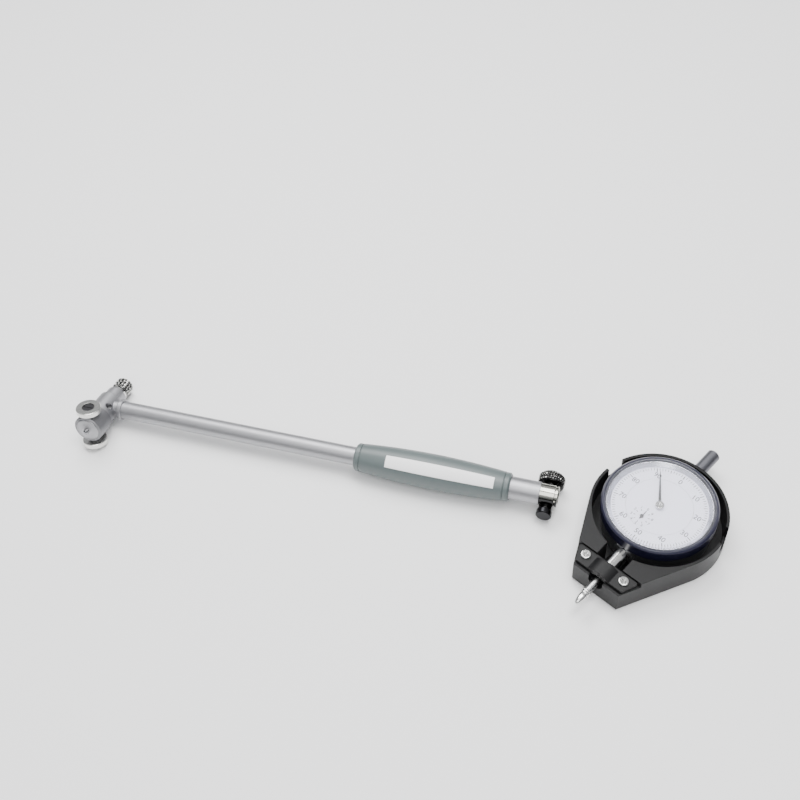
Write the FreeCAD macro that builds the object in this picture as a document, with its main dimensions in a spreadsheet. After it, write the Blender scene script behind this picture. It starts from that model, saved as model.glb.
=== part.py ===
import FreeCAD, Part
import math
import os
import re
import Sketcher

# Dial bore gauge: a measuring head on a tube with a grip, and the dial indicator in its guard.
# Every part stands in one of three frames: the indicator's, the holder's head's and the clamp's.

Vector = FreeCAD.Vector
Rotation = FreeCAD.Rotation
Placement = FreeCAD.Placement

doc = FreeCAD.newDocument("BoreGauge")
sheet = doc.addObject("Spreadsheet::Sheet", "Size")

# Sizes in millimetres and degrees, by group.
sizes = {
    # the indicator lies on its back, its stem level
    "indicatorTurn": -28.3,
    "stemHeight": 11.0,
    "fit": 0.03,
    "runningFit": 0.05,
    "spacing": 0.1,
    # guard
    "guardRoom": 4.0,
    "guardWall": 1.5,
    "guardFloor": 2.4,
    "guardHeight": 17.0,
    "shoulderHalf": 18.2,
    "guardEndHalf": 13.4,
    "slotHalf": 7.5,
    "saddleTop": 13.8,
    "notchFrom": 3.2,
    "notchWide": 9.8,
    "notchFloor": 8.5,
    "capHole": 4.3,
    # strap over the stem
    "strapWide": 9.2,
    "strapSide": 0.6,
    "strapThick": 2.1,
    "archTop": 18.1,
    "archRadius": 10.0,
    "archInset": 1.3,
    "strapScrewHalf": 11.2,
    "strapScrewHead": 2.55,
    "strapScrewHeadThick": 1.3,
    "strapScrewShank": 1.5,
    "strapScrewLong": 9.0,
    # case
    "caseRadius": 27.5,
    "caseBack": 3.9,
    "caseShoulder": 14.2,
    "spigotTop": 18.4,
    "webTop": 6.7,
    "webThick": 1.2,
    "backScrewHead": 1.5,
    "backScrewShank": 0.8,
    "stemRadius": 4.0,
    "stemBoss": 5.6,
    "capBoss": 3.45,
    "capWall": 0.95,
    "bushRadius": 2.85,
    "bushFlange": 3.4,
    "postRadius": 2.0,
    "postTop": 13.4,
    # spindle and its rack
    "spindleRadius": 2.0,
    "spindleTravel": 10.0,
    "contactCollar": 2.45,
    "contactNeck": 1.35,
    "contactBall": 1.5,
    "guidePinAt": 8.0,
    "guidePinRadius": 0.7,
    "guidePinReach": 8.6,
    "guideWallAt": 7.3,
    "guideWallThick": 1.0,
    "springSide": 5.2,
    "springPostAt": 17.5,
    "rackPitch": 0.625,
    "rackTeeth": 26,
    "pinionTeeth": 16,
    "gearTeeth": 100,
    "centreTeeth": 10,
    "toothThin": 0.045,
    "pinionBottom": 9.9,
    "pinionTop": 12.3,
    "shaftX": -3.2,
    "shaftY": -10.46,
    "plateThick": 0.8,
    "upperPlateBottom": 16.6,
    "gearBottom": 15.0,
    "gearThick": 0.6,
    "pillarY": 5.0,
    "pillarRadius": 1.5,
    # dial and bezel
    "dialBottom": 18.8,
    "dialThick": 0.4,
    "centreDialGap": 0.08,
    "bezelBottom": 15.2,
    "bezelTop": 22.3,
    "crystalSeat": 21.4,
    "pointerBottom": 20.1,
    "pointerReach": 20.8,
    "pointerTail": 5.2,
    "pointerHub": 2.0,
    "pointerTurn": 34.3,
    "smallPointerReach": 4.0,
    "smallPointerTail": 1.8,
    "smallPointerHub": 0.9,
    "smallPointerTurn": -1.9,
    # where the holder lies: its head's centre, and the turn of the tube
    "headX": -309.7,
    "headY": 4.7,
    "holderTurn": -1.05,
    # measuring head, along the measuring axis
    "blockRadius": 7.2,
    "blockEnd": 5.2,
    "blockRound": 1.2,
    "blockShoulder": 12.0,
    "barrelRadius": 6.0,
    "barrelEnd": 21.8,
    "plungerBore": 3.6,
    "neckRadius": 5.8,
    "neckEnd": 11.0,
    "anvilSpigot": 3.4,
    "anvilSpigotEnd": 19.8,
    "anvilBore": 2.5,
    "anvilBoreDeep": 14.0,
    "bossRadius": 4.7,
    "bossEnd": 8.4,
    "tubeRingLong": 2.6,
    "tubeRingRadius": 5.9,
    "noseRadius": 7.0,
    "noseDome": 0.95,
    "plungerRadius": 1.5,
    "plungerFlange": 3.3,
    "tipReach": 25.0,
    "tipRadius": 1.4,
    "crankArm": 5.0,
    "crankThick": 2.8,
    "crankHub": 1.6,
    "crankNose": 1.0,
    "crankWeb": 0.55,
    "crankPin": 0.9,
    # bridge and rollers
    "bridgeRadius": 8.15,
    "bridgeBack": 10.0,
    "rollerAt": 17.0,
    "rollerRadius": 6.8,
    "rollerInner": 9.5,
    "rollerThick": 3.0,
    "rollerBore": 2.0,
    "rollerRecess": 3.5,
    "rollerBoss": 3.2,
    # anvil nut
    "washerThick": 1.5,
    "washerRadius": 5.4,
    "nutRadius": 5.0,
    "nutCollar": 4.3,
    "nutCollarLong": 1.6,
    "nutEnd": 21.6,
    # tube, rod and grip
    "tubeRadius": 5.0,
    "tubeBore": 3.4,
    "tubeSpigotLong": 5.6,
    "rodRadius": 1.25,
    "guideLong": 6.0,
    "gripStart": 150.2,
    "gripLong": 84.2,
    "gripEndRadius": 7.6,
    "gripRadius": 9.5,
    "gripLand": 2.9,
    "gripGroove": 0.5,
    "gripGrooveDeep": 0.35,
    "gripEndChamfer": 0.8,
    "gripStep": 0.1,
    "stripThick": 0.12,
    "stripArc": 42.0,
    "stripTurn": 60.0,
    "neckTubeRadius": 6.0,
    "neckTubeLong": 15.6,
    # clamp
    "clampSpigot": 5.15,
    "clampSpigotLong": 7.0,
    "clampMain": 7.7,
    "clampRadius": 5.75,
    "clampRingRadius": 5.45,
    "clampLong": 9.3,
    "cotterBelow": 4.2,
    "cotterAlong": 3.8,
    "cotterRadius": 2.3,
    "cotterHead": 4.1,
    "cotterHeadEnd": 10.6,
    "crossBoss": 3.7,
    "crossBossNear": 7.2,
    "crossBossFar": 6.0,
    "thumbRadius": 6.8,
    "thumbStart": 8.4,
    "thumbWide": 6.1,
    "cotterThread": 1.5,
    "cotterTravel": 0.5,
}

# Sizes that follow from the others.
derived = {
    "module": "rackPitch / 180 * 90 / 1.5707963268",
    "spigotRadius": "caseRadius - 1.3",
    "caseInside": "caseRadius - 2.5",
    "coverSeat": "caseRadius - 5.1",
    "backScrewAt": "(coverSeat + caseRadius) / 2 / sqrt(2)",
    "postAt": "(caseInside - 3.8) / sqrt(2)",
    "stemInnerEnd": "caseInside - 1.2",
    "stemBossEnd": "caseRadius + 1.5",
    "stemEnd": "stemBossEnd + 18.3",
    "capEnd": "stemBossEnd + 21.5",
    "spindleEnd": "stemEnd + spindleTravel + 0.2",
    "spindleTop": "stemBossEnd + 5",
    "contactCollarEnd": "spindleEnd + 3.3",
    "contactTip": "contactCollarEnd + 5.6",
    "middlePlateRadius": "caseInside - 1.8",
    "upperPlateRadius": "caseInside - 0.8",
    "pillarX": "middlePlateRadius - 2.7",
    "dialRadius": "spigotRadius",
    "centreDialRadius": "dialRadius - 9.6",
    "ringInner": "dialRadius - 2.2",
    "ringTopRadius": "dialRadius - 0.2",
    "bezelBore": "spigotRadius + spacing",
    "crystalRadius": "bezelBore + 0.95",
    "bezelRadius": "caseRadius + 1.5",
    "guardPocket": "bezelRadius + guardRoom",
    "guardRadius": "guardPocket + guardWall",
    "shoulderAt": "guardRadius + 6.8",
    "guardEnd": "shoulderAt + 9.9",
    "seatNear": "shoulderAt - 1",
    "strapScrewAt": "seatNear + 4.1",
    "tubeEnd": "gripStart + gripLong + 1.6",
    "rodEnd": "tubeEnd - 1",
    "rearGuideAt": "tubeEnd - 22",
    "rodCollarAt": "rearGuideAt - 14",
    "stripStart": "gripStart + 17.9",
    "stripLong": "gripLong - 25.8",
    "guardReach": "sqrt(shoulderAt ^ 2 + shoulderHalf ^ 2)",
    "guardTouch": "atan(shoulderAt / shoulderHalf) / 1 deg - acos(guardRadius / guardReach) / 1 deg",
    "touchX": "guardRadius * cos(guardTouch * 1 deg)",
    "touchY": "guardRadius * sin(guardTouch * 1 deg)",
    "strapNear": "seatNear + 0.1",
    "strapFar": "strapNear + strapWide",
    "strapTop": "saddleTop + strapThick",
    "shoulderSlope": "(shoulderHalf - guardEndHalf) / (guardEnd - shoulderAt)",
    "strapHalfInner": "shoulderHalf - strapSide",
    "strapHalfOuter": "shoulderHalf - strapSide - shoulderSlope * (strapFar - shoulderAt)",
    "middlePlateTop": "postTop + plateThick",
    "upperPlateTop": "upperPlateBottom + plateThick",
    "dialTop": "dialBottom + dialThick",
    "tubeStart": "bossEnd + 0.02",
    "rollerFace": "rollerInner + rollerThick",
    "rollerMiddle": "rollerInner + rollerThick / 2",
    "nutStart": "neckEnd + washerThick + spacing",
    "headRoll": "atan((rollerFace - nutRadius) / (nutEnd + rollerAt - rollerRadius)) / 1 deg",
    "headHeight": "rollerFace * cos(headRoll * 1 deg) - (rollerAt - rollerRadius) * sin(headRoll * 1 deg)",
    "gripEnd": "gripStart + gripLong",
    "gripSwell": "gripRadius - gripEndRadius - gripStep",
    "gripCrown": "gripLong - 2 * gripLand - 2 * gripGroove",
    "gripArc": "(gripCrown ^ 2 / 4 + gripSwell ^ 2) / (2 * gripSwell)",
    "neckTubeStart": "gripEnd + 0.05",
    "neckTubeEnd": "neckTubeStart + neckTubeLong",
    "clampStart": "neckTubeEnd + 0.05",
    "clampEnd": "clampStart + clampLong",
    "cotterAt": "clampStart + cotterAlong",
    "clampBore": "stemRadius + fit",
    "holderRise": "asin((cotterBelow + thumbRadius - headHeight) / cotterAt) / 1 deg",
}


def withSheet(text):
    return re.sub(r"(?<![\w.])([a-z][A-Za-z]*[A-Z][A-Za-z]*|fit|spacing|module)(?![\w(])", r"Size.\1", text)


row = 1
for alias, value in list(sizes.items()) + list(derived.items()):
    sheet.set("A%d" % row, alias)
    if alias in derived:
        sheet.set("B%d" % row, "=" + re.sub(r"Size\.", "", withSheet(value)))
    else:
        sheet.set("B%d" % row, str(value))
    sheet.setAlias("B%d" % row, alias)
    row += 1
doc.recompute()


def get(text):
    # value of an expression made of sheet names
    return float(sheet.evalExpression(withSheet(str(text))))


indicatorPlace = Placement(Vector(0, 0, 0), Rotation(Vector(0, 0, 1), get("indicatorTurn")))
level = Rotation(Vector(0, 0, 1), get("holderTurn")).multiply(Rotation(Vector(0, 1, 0), -get("holderRise")))
headCentre = Vector(get("headX"), get("headY"), get("headHeight"))
clampPlace = Placement(headCentre, level)
headPlace = Placement(headCentre, level.multiply(Rotation(Vector(1, 0, 0), -get("headRoll"))))

parts = []


def startBody(label, place):
    body = doc.addObject("PartDesign::Body", label)
    body.Label = label
    body.Placement = place
    parts.append(body)
    return body


def sketchOn(body, name, role, offset="0"):
    # sketch on one of the body's origin planes, moved along its normal
    plane = [feature for feature in body.Origin.OriginFeatures if feature.Role == role][0]
    sketch = body.newObject("Sketcher::SketchObject", body.Label + "_" + name)
    sketch.AttachmentSupport = [(plane, "")]
    sketch.MapMode = "FlatFace"
    sketch.AttachmentOffset = Placement(Vector(0, 0, get(offset)), Rotation())
    if str(offset) != "0":
        sketch.setExpression("AttachmentOffset.Base.z", withSheet(str(offset)))
    return sketch


def pin(sketch, geometry, position, along, text):
    # one coordinate of a point, tied to the sheet
    text = str(text)
    if text == "0":
        axisLine = -2 if along == "X" else -1
        sketch.addConstraint(Sketcher.Constraint("PointOnObject", geometry, position, axisLine))
        return
    index = sketch.addConstraint(
        Sketcher.Constraint("Distance" + along, -1, 1, geometry, position, get(text)))
    if re.search("[a-z]", text):
        sketch.setExpression("Constraints[%d]" % index, withSheet(text))


def circle(sketch, x, y, radius):
    index = sketch.addGeometry(
        Part.Circle(Vector(get(x), get(y), 0), Vector(0, 0, 1), get(radius)), False)
    pin(sketch, index, 3, "X", x)
    pin(sketch, index, 3, "Y", y)
    constraint = sketch.addConstraint(Sketcher.Constraint("Radius", index, get(radius)))
    sketch.setExpression("Constraints[%d]" % constraint, withSheet(str(radius)))


def outline(sketch, points, bends=None):
    # closed outline; bends gives, for the side that starts at a corner, the radius and the side of its centre
    bends = bends or {}
    corners = [Vector(get(x), get(y), 0) for x, y in points]
    count = len(points)
    first = sketch.GeometryCount
    ends = []
    for i in range(count):
        start = corners[i]
        stop = corners[(i + 1) % count]
        if i not in bends:
            sketch.addGeometry(Part.LineSegment(start, stop), False)
            ends.append((1, 2))
            continue
        radius = get(bends[i][0])
        side = bends[i][1]
        chord = stop - start
        normal = Vector(-chord.y, chord.x, 0) * (side / chord.Length)
        centre = (start + stop) * 0.5 + normal * math.sqrt(max(radius ** 2 - chord.Length ** 2 / 4, 0))
        angles = [math.atan2(p.y - centre.y, p.x - centre.x) for p in (start, stop)]
        if side < 0:
            angles.reverse()
        if angles[1] < angles[0]:
            angles[1] += 2 * math.pi
        arc = Part.ArcOfCircle(Part.Circle(centre, Vector(0, 0, 1), radius), angles[0], angles[1])
        sketch.addGeometry(arc, False)
        ends.append((1, 2) if side > 0 else (2, 1))
    for i in range(count):
        after = (i + 1) % count
        sketch.addConstraint(
            Sketcher.Constraint("Coincident", first + i, ends[i][1], first + after, ends[after][0]))
    for i, (x, y) in enumerate(points):
        pin(sketch, first + i, ends[i][0], "X", x)
        pin(sketch, first + i, ends[i][0], "Y", y)
    for i, (radius, side) in bends.items():
        index = sketch.addConstraint(Sketcher.Constraint("Radius", first + i, get(radius)))
        sketch.setExpression("Constraints[%d]" % index, withSheet(str(radius)))


def rectangle(sketch, x0, x1, y0, y1):
    outline(sketch, [(x0, y0), (x1, y0), (x1, y1), (x0, y1)])


def extrude(body, sketch, length, cut=False, both=False):
    kind = "PartDesign::Pocket" if cut else "PartDesign::Pad"
    feature = body.newObject(kind, sketch.Label + ("_cut" if cut else "_pad"))
    feature.Profile = sketch
    feature.Length = get(length)
    if re.search("[a-z]", str(length)):
        feature.setExpression("Length", withSheet(str(length)))
    if both:
        feature.SideType = "Symmetric"
    elif cut:
        feature.Reversed = True
    sketch.Visibility = False
    doc.recompute()
    return feature


def revolve(body, sketch, axis="V_Axis", angle=360.0, cut=False):
    kind = "PartDesign::Groove" if cut else "PartDesign::Revolution"
    feature = body.newObject(kind, sketch.Label + "_turn")
    feature.Profile = sketch
    feature.ReferenceAxis = (sketch, [axis])
    feature.Angle = angle
    sketch.Visibility = False
    doc.recompute()
    return feature


def soften(body, name, size, wanted, kind="PartDesign::Fillet"):
    # rounds or chamfers the edges that the test picks
    tip = body.Tip
    names = ["Edge%d" % (i + 1) for i, edge in enumerate(tip.Shape.Edges) if wanted(edge)]
    feature = body.newObject(kind, name)
    feature.Base = (tip, names)
    if kind == "PartDesign::Fillet":
        feature.Radius = size
    else:
        feature.Size = size
    doc.recompute()
    return feature


def turned(label, place, points, role="XY_Plane", axis="V_Axis", offset="0", bends=None):
    # a body made by turning one outline
    body = startBody(label, place)
    sketch = sketchOn(body, "profile", role, offset)
    outline(sketch, points, bends)
    revolve(body, sketch, axis)
    return body


def bore(body, name, role, offset, length, x, y, radius, both=False):
    sketch = sketchOn(body, name, role, offset)
    circle(sketch, x, y, radius)
    return extrude(body, sketch, length, cut=True, both=both)


def boss(body, name, role, offset, length, x, y, radius, both=False):
    sketch = sketchOn(body, name, role, offset)
    circle(sketch, x, y, radius)
    return extrude(body, sketch, length, both=both)


def holes(body, name, role, offset, length, places, radius):
    # several round holes from one sketch
    sketch = sketchOn(body, name, role, offset)
    for x, y in places:
        circle(sketch, x, y, radius)
    return extrude(body, sketch, length, cut=True)


def placed(label, shape, place):
    feature = doc.addObject("Part::Feature", label)
    feature.Label = label
    feature.Shape = shape
    feature.Placement = place
    parts.append(feature)
    return feature


def cylinder(radius, length, base, direction=(0, 0, 1)):
    return Part.makeCylinder(get(radius), get(length), Vector(*base), Vector(*direction))


def wheel(teeth, module, phase, bottom, thick, thin):
    # toothed wheel with one tooth centred on the phase angle
    pitchRadius = module * teeth / 2
    tip = pitchRadius + 0.85 * module
    root = pitchRadius - 1.15 * module
    half = math.pi * module / 4 - thin
    slope = math.tan(math.radians(20))
    tipHalf = (half - 0.85 * module * slope) / tip
    rootHalf = (half + 0.6 * module * slope) / root
    corners = []
    for k in range(teeth):
        middle = math.radians(phase) + 2 * math.pi * k / teeth
        for radius, angle in ((root, -rootHalf), (tip, -tipHalf), (tip, tipHalf), (root, rootHalf)):
            turn = middle + angle
            corners.append(Vector(radius * math.cos(turn), radius * math.sin(turn), bottom))
    corners.append(corners[0])
    return Part.Face(Part.makePolygon(corners)).extrude(Vector(0, 0, thick))


def wireCoil(path, half):
    # square wire swept along a list of points, its ends closed
    rings = []
    for i, point in enumerate(path):
        ahead = path[min(i + 1, len(path) - 1)] - path[max(i - 1, 0)]
        ahead.normalize()
        side = Vector(0, 0, 1).cross(ahead)
        side.normalize()
        up = ahead.cross(side)
        signs = ((1, 1), (-1, 1), (-1, -1), (1, -1))
        rings.append([point + side * (half * a) + up * (half * b) for a, b in signs])
    faces = []
    for near, far in zip(rings, rings[1:]):
        for k in range(4):
            a, b, c, d = near[k], near[(k + 1) % 4], far[(k + 1) % 4], far[k]
            faces.append(Part.Face(Part.makePolygon([a, b, c, a])))
            faces.append(Part.Face(Part.makePolygon([a, c, d, a])))
    for ring in (rings[0], rings[-1]):
        faces.append(Part.Face(Part.makePolygon([ring[0], ring[1], ring[2], ring[0]])))
        faces.append(Part.Face(Part.makePolygon([ring[0], ring[2], ring[3], ring[0]])))
    solid = Part.makeSolid(Part.makeShell(faces))
    if solid.Volume < 0:
        solid.reverse()
    return solid


def coilPath(start, length, radius, turns, steps=12):
    # helix along +Y from a start point on its axis
    count = int(turns * steps)
    path = []
    for i in range(count + 1):
        angle = 2 * math.pi * i / steps
        path.append(start + Vector(radius * math.sin(angle), length * i / count, radius * math.cos(angle)))
    return path


def screw(headRadius, headThick, shankRadius, shankLong, slotWide, slotDeep):
    # cross-recessed screw whose head stands on z = 0
    shank = cylinder(shankRadius, shankLong, (0, 0, -shankLong))
    shape = cylinder(headRadius, headThick, (0, 0, 0)).fuse(shank)
    rim = [edge for edge in shape.Edges if abs(edge.CenterOfMass.z - headThick) < 0.001 and edge.Closed]
    shape = shape.makeFillet(headThick * 0.4, rim)
    reach = headRadius * 0.6
    top = headThick - slotDeep
    for turn in (0, 90):
        bar = Part.makeBox(2 * reach, slotWide, slotDeep + 0.1, Vector(-reach, -slotWide / 2, top))
        bar.rotate(Vector(0, 0, 0), Vector(0, 0, 1), turn)
        shape = shape.cut(bar)
    return shape


# Guard: a moulded tray with a pocket for the case and a slot for the stem.
guard = startBody("guard_shell", indicatorPlace)
sketch = sketchOn(guard, "round", "XY_Plane")
circle(sketch, "0", "0", "guardRadius")
extrude(guard, sketch, "guardHeight")
sketch = sketchOn(guard, "front", "XY_Plane")
outline(sketch, [
    ("touchX", "-touchY"), ("-touchX", "-touchY"), ("-shoulderHalf", "-shoulderAt"),
    ("-guardEndHalf", "-guardEnd"), ("guardEndHalf", "-guardEnd"), ("shoulderHalf", "-shoulderAt")])
extrude(guard, sketch, "guardHeight")
soften(guard, "guard_edge", 0.8, lambda edge: abs(edge.BoundBox.ZMax) < 0.01)
bore(guard, "pocket", "XY_Plane", "guardFloor", "guardHeight", "0", "0", "guardPocket")
sketch = sketchOn(guard, "slot", "XY_Plane", "guardFloor")
rectangle(sketch, "-slotHalf", "slotHalf", "-seatNear - 1.2", "-guardPocket + 3")
extrude(guard, sketch, "guardHeight", cut=True)
sketch = sketchOn(guard, "strap_seat", "XY_Plane", "saddleTop")
rectangle(sketch, "-shoulderHalf - 3", "shoulderHalf + 3", "-guardEnd - 3", "-seatNear")
extrude(guard, sketch, "guardHeight", cut=True)
sketch = sketchOn(guard, "saddle", "XY_Plane", "stemHeight")
rectangle(sketch, "-stemRadius - fit", "stemRadius + fit", "-guardEnd - 3", "-seatNear")
extrude(guard, sketch, "guardHeight", cut=True)
bore(guard, "saddle_round", "XZ_Plane", "seatNear", "guardEnd", "0", "stemHeight", "stemRadius + fit")
sketch = sketchOn(guard, "notches", "XY_Plane", "notchFloor")
rectangle(sketch, "guardPocket - 4", "guardRadius + 3", "notchFrom", "notchFrom + notchWide")
rectangle(sketch, "-guardRadius - 3", "-guardPocket + 4", "notchFrom", "notchFrom + notchWide")
extrude(guard, sketch, "guardHeight", cut=True)
bore(guard, "cap_hole", "XZ_Plane", "-guardRadius - 2", "guardWall + 4", "0", "stemHeight", "capHole")
screwSpots = [("-strapScrewHalf", "-strapScrewAt"), ("strapScrewHalf", "-strapScrewAt")]
holes(guard, "screw_holes", "XY_Plane", "strapTop - strapScrewLong - 0.3", "strapScrewLong", screwSpots,
      "strapScrewShank + fit")

strap = startBody("strap_clamp", indicatorPlace)
sketch = sketchOn(strap, "outline", "XY_Plane", "saddleTop")
outline(sketch, [
    ("-strapHalfInner", "-strapNear"), ("-strapHalfOuter", "-strapFar"),
    ("strapHalfOuter", "-strapFar"), ("strapHalfInner", "-strapNear")])
extrude(strap, sketch, "strapThick")
soften(strap, "strap_corners", 1.2, lambda edge: edge.Length < 3 and edge.BoundBox.ZLength > 2)
sketch = sketchOn(strap, "arch", "XZ_Plane", "strapNear + archInset")
circle(sketch, "0", "archTop - archRadius", "archRadius")
extrude(strap, sketch, "strapWide - archInset")
sketch = sketchOn(strap, "underside", "XY_Plane", "saddleTop - archRadius * 2")
rectangle(sketch, "-archRadius - 1", "archRadius + 1", "-strapFar - 1", "-strapNear + 1")
extrude(strap, sketch, "archRadius * 2", cut=True)
bore(strap, "stem_groove", "XZ_Plane", "strapNear - 1", "strapWide + 2", "0", "stemHeight",
     "stemRadius + fit")
holes(strap, "screw_holes", "XY_Plane", "saddleTop - 1", "6", screwSpots, "strapScrewShank + 0.15")

strapScrew = screw(get("strapScrewHead"), get("strapScrewHeadThick"), get("strapScrewShank"),
                   get("strapScrewLong"), 0.7, 0.8)
pair = []
for side in (-1, 1):
    one = strapScrew.copy()
    one.translate(Vector(side * get("strapScrewHalf"), -get("strapScrewAt"), get("strapTop")))
    pair.append(one)
placed("strap_screws", Part.makeCompound(pair), indicatorPlace)

# Indicator case: a cup whose web carries the posts, the guide wall and the shaft's lower bearing.
case = turned("indicator_case", indicatorPlace, [
    ("coverSeat", "caseBack"), ("caseRadius", "caseBack"), ("caseRadius", "caseShoulder"),
    ("spigotRadius", "caseShoulder"), ("spigotRadius", "spigotTop"), ("caseInside", "spigotTop"),
    ("caseInside", "webTop"), ("0", "webTop"), ("0", "webTop - webThick"),
    ("coverSeat", "webTop - webThick")],
    role="XZ_Plane")
boss(case, "stem_boss", "XZ_Plane", "caseInside + 0.4", "stemBossEnd - caseInside - 0.4", "0", "stemHeight",
     "stemBoss")
boss(case, "cap_boss", "XZ_Plane", "-stemBossEnd", "stemBossEnd - caseInside - 0.4", "0", "stemHeight",
     "capBoss")
sketch = sketchOn(case, "bezel_room", "XY_Plane", "bezelBottom - 2 * spacing")
circle(sketch, "0", "0", "spigotRadius")
circle(sketch, "0", "0", "stemBossEnd + 4")
extrude(case, sketch, "spigotTop", cut=True)
bore(case, "stem_hole", "XZ_Plane", "caseInside - 4", "10", "0", "stemHeight", "stemRadius + fit")
bore(case, "bush_hole", "XZ_Plane", "-stemBossEnd - 1", "8", "0", "stemHeight", "bushRadius + fit")
sketch = sketchOn(case, "posts", "XY_Plane", "webTop - 0.2")
for x in ("-postAt", "postAt"):
    for y in ("-postAt", "postAt"):
        circle(sketch, x, y, "postRadius")
extrude(case, sketch, "postTop - webTop + 0.2")
boss(case, "shaft_boss", "XY_Plane", "webTop - 0.2", "2.9", "shaftX", "shaftY", "postRadius")
boss(case, "spring_post", "XY_Plane", "webTop - 0.2", "stemHeight + 1 - webTop", "springSide", "-springPostAt",
     "guidePinRadius")
sketch = sketchOn(case, "guide_wall", "XY_Plane", "webTop - 0.2")
rectangle(sketch, "guideWallAt", "guideWallAt + guideWallThick", "guidePinAt - 2.5",
          "guidePinAt + spindleTravel + 2.5")
extrude(case, sketch, "postTop - webTop - 0.1")
sketch = sketchOn(case, "guide_slot", "YZ_Plane", "guideWallAt - 1")
rectangle(sketch, "guidePinAt - guidePinRadius - 0.4", "guidePinAt + spindleTravel + guidePinRadius + 0.4",
          "stemHeight - guidePinRadius - runningFit", "stemHeight + guidePinRadius + runningFit")
extrude(case, sketch, "guideWallThick + 2", cut=True)
bore(case, "shaft_hole", "XY_Plane", "webTop + 0.4", "4", "shaftX", "shaftY", "0.5 + runningFit")
plateSpots = [(x, y) for x in ("-postAt", "postAt") for y in ("-postAt", "postAt")]
holes(case, "post_holes", "XY_Plane", "postTop - 3.6", "5", plateSpots, "1 + fit")
backSpots = [(x, y) for x in ("-backScrewAt", "backScrewAt") for y in ("-backScrewAt", "backScrewAt")]
holes(case, "back_holes", "XY_Plane", "caseBack - 1", "3.6", backSpots, "backScrewShank + fit")

cover = turned("back_cover", indicatorPlace, [
    ("0", "guardFloor"), ("caseRadius - 0.5", "guardFloor"), ("caseRadius", "guardFloor + 0.5"),
    ("caseRadius", "caseBack"), ("0", "caseBack")], role="XZ_Plane")
holes(cover, "screw_holes", "XY_Plane", "guardFloor - 1", "4", backSpots, "backScrewShank + fit")
holes(cover, "screw_seats", "XY_Plane", "guardFloor - 1", "1.75", backSpots, "backScrewHead + 0.1")

four = []
for x in (-1, 1):
    for y in (-1, 1):
        one = cylinder("backScrewHead", "0.7", (0, 0, 0)).fuse(cylinder("backScrewShank", "3.6", (0, 0, 0)))
        across = get("2 * backScrewHead + 1")
        one = one.cut(Part.makeBox(across, 0.45, 0.4, Vector(-across / 2, -0.225, 0)))
        one.translate(Vector(x * get("backScrewAt"), y * get("backScrewAt"), get("guardFloor + 0.03")))
        four.append(one)
placed("back_screws", Part.makeCompound(four), indicatorPlace)

turned("stem", indicatorPlace, [
    ("spindleRadius + runningFit", "-stemInnerEnd"), ("stemRadius", "-stemInnerEnd"),
    ("stemRadius", "-stemEnd + 0.4"), ("stemRadius - 0.4", "-stemEnd"),
    ("spindleRadius + runningFit", "-stemEnd"), ("spindleRadius + runningFit", "-stemEnd + 6"),
    ("stemRadius - 1.3", "-stemEnd + 6"), ("stemRadius - 1.3", "-stemInnerEnd - 6"),
    ("spindleRadius + runningFit", "-stemInnerEnd - 6")], offset="stemHeight")
turned("upper_bush", indicatorPlace, [
    ("spindleRadius + runningFit", "caseInside - 1.5"), ("bushFlange", "caseInside - 1.5"),
    ("bushFlange", "caseInside - 0.6"), ("bushRadius", "caseInside - 0.6"),
    ("bushRadius", "stemBossEnd + 1.5"), ("spindleRadius + runningFit", "stemBossEnd + 1.5")],
    offset="stemHeight")
turned("spindle_cap", indicatorPlace, [
    ("bushRadius + fit", "stemBossEnd + spacing"), ("capBoss", "stemBossEnd + spacing"),
    ("capBoss", "capEnd - 0.7"), ("capBoss - 0.7", "capEnd"), ("0", "capEnd"), ("0", "capEnd - 1.2"),
    ("capBoss - capWall", "capEnd - 1.2"), ("capBoss - capWall", "stemBossEnd + 2"),
    ("bushRadius + fit", "stemBossEnd + 2")], offset="stemHeight")

# Spindle with its rack, and the wheels that it turns.
gearModule = get("module")
pitchLine = get("shaftX") + gearModule * get("pinionTeeth") / 2
rackRoot = pitchLine + 1.15 * gearModule
rackTip = pitchLine - 0.85 * gearModule
pitch = get("rackPitch")
toothHalf = pitch / 4 - get("toothThin")
slant = math.tan(math.radians(20))
rootHalf = toothHalf + 0.6 * gearModule * slant
tipHalf = toothHalf - 0.85 * gearModule * slant
corners = [Vector(rackTip, get("shaftY") + 3 * pitch, 0)]
for k in range(int(get("rackTeeth")) - 1):
    middle = get("shaftY") + (2 - k) * pitch
    for x, half in ((rackRoot, rootHalf), (rackTip, tipHalf), (rackTip, -tipHalf), (rackRoot, -rootHalf)):
        corners.append(Vector(x, middle + half, 0))
corners.append(Vector(rackTip, corners[-1].y - 0.3 * pitch, 0))
corners.append(Vector(get("-spindleRadius - 1"), corners[-1].y, 0))
corners.append(Vector(get("-spindleRadius - 1"), corners[0].y, 0))
corners.append(corners[0])
rackTool = Part.Face(Part.makePolygon(corners)).extrude(Vector(0, 0, get("3 * spindleRadius")))
rackTool.translate(Vector(0, 0, get("stemHeight - 1.5 * spindleRadius")))
rodFoot = (0, -get("spindleEnd"), get("stemHeight"))
rod = cylinder("spindleRadius", "spindleEnd + spindleTop", rodFoot, (0, 1, 0))
rod = rod.cut(rackTool)
rod = rod.cut(cylinder("guidePinRadius + 0.01", "4", (-1.6, get("guidePinAt"), get("stemHeight")), (1, 0, 0)))
rod = rod.cut(cylinder("1.13", "3.4", (0, -get("spindleEnd"), get("stemHeight")), (0, 1, 0)))
placed("spindle", rod, indicatorPlace)

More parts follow.
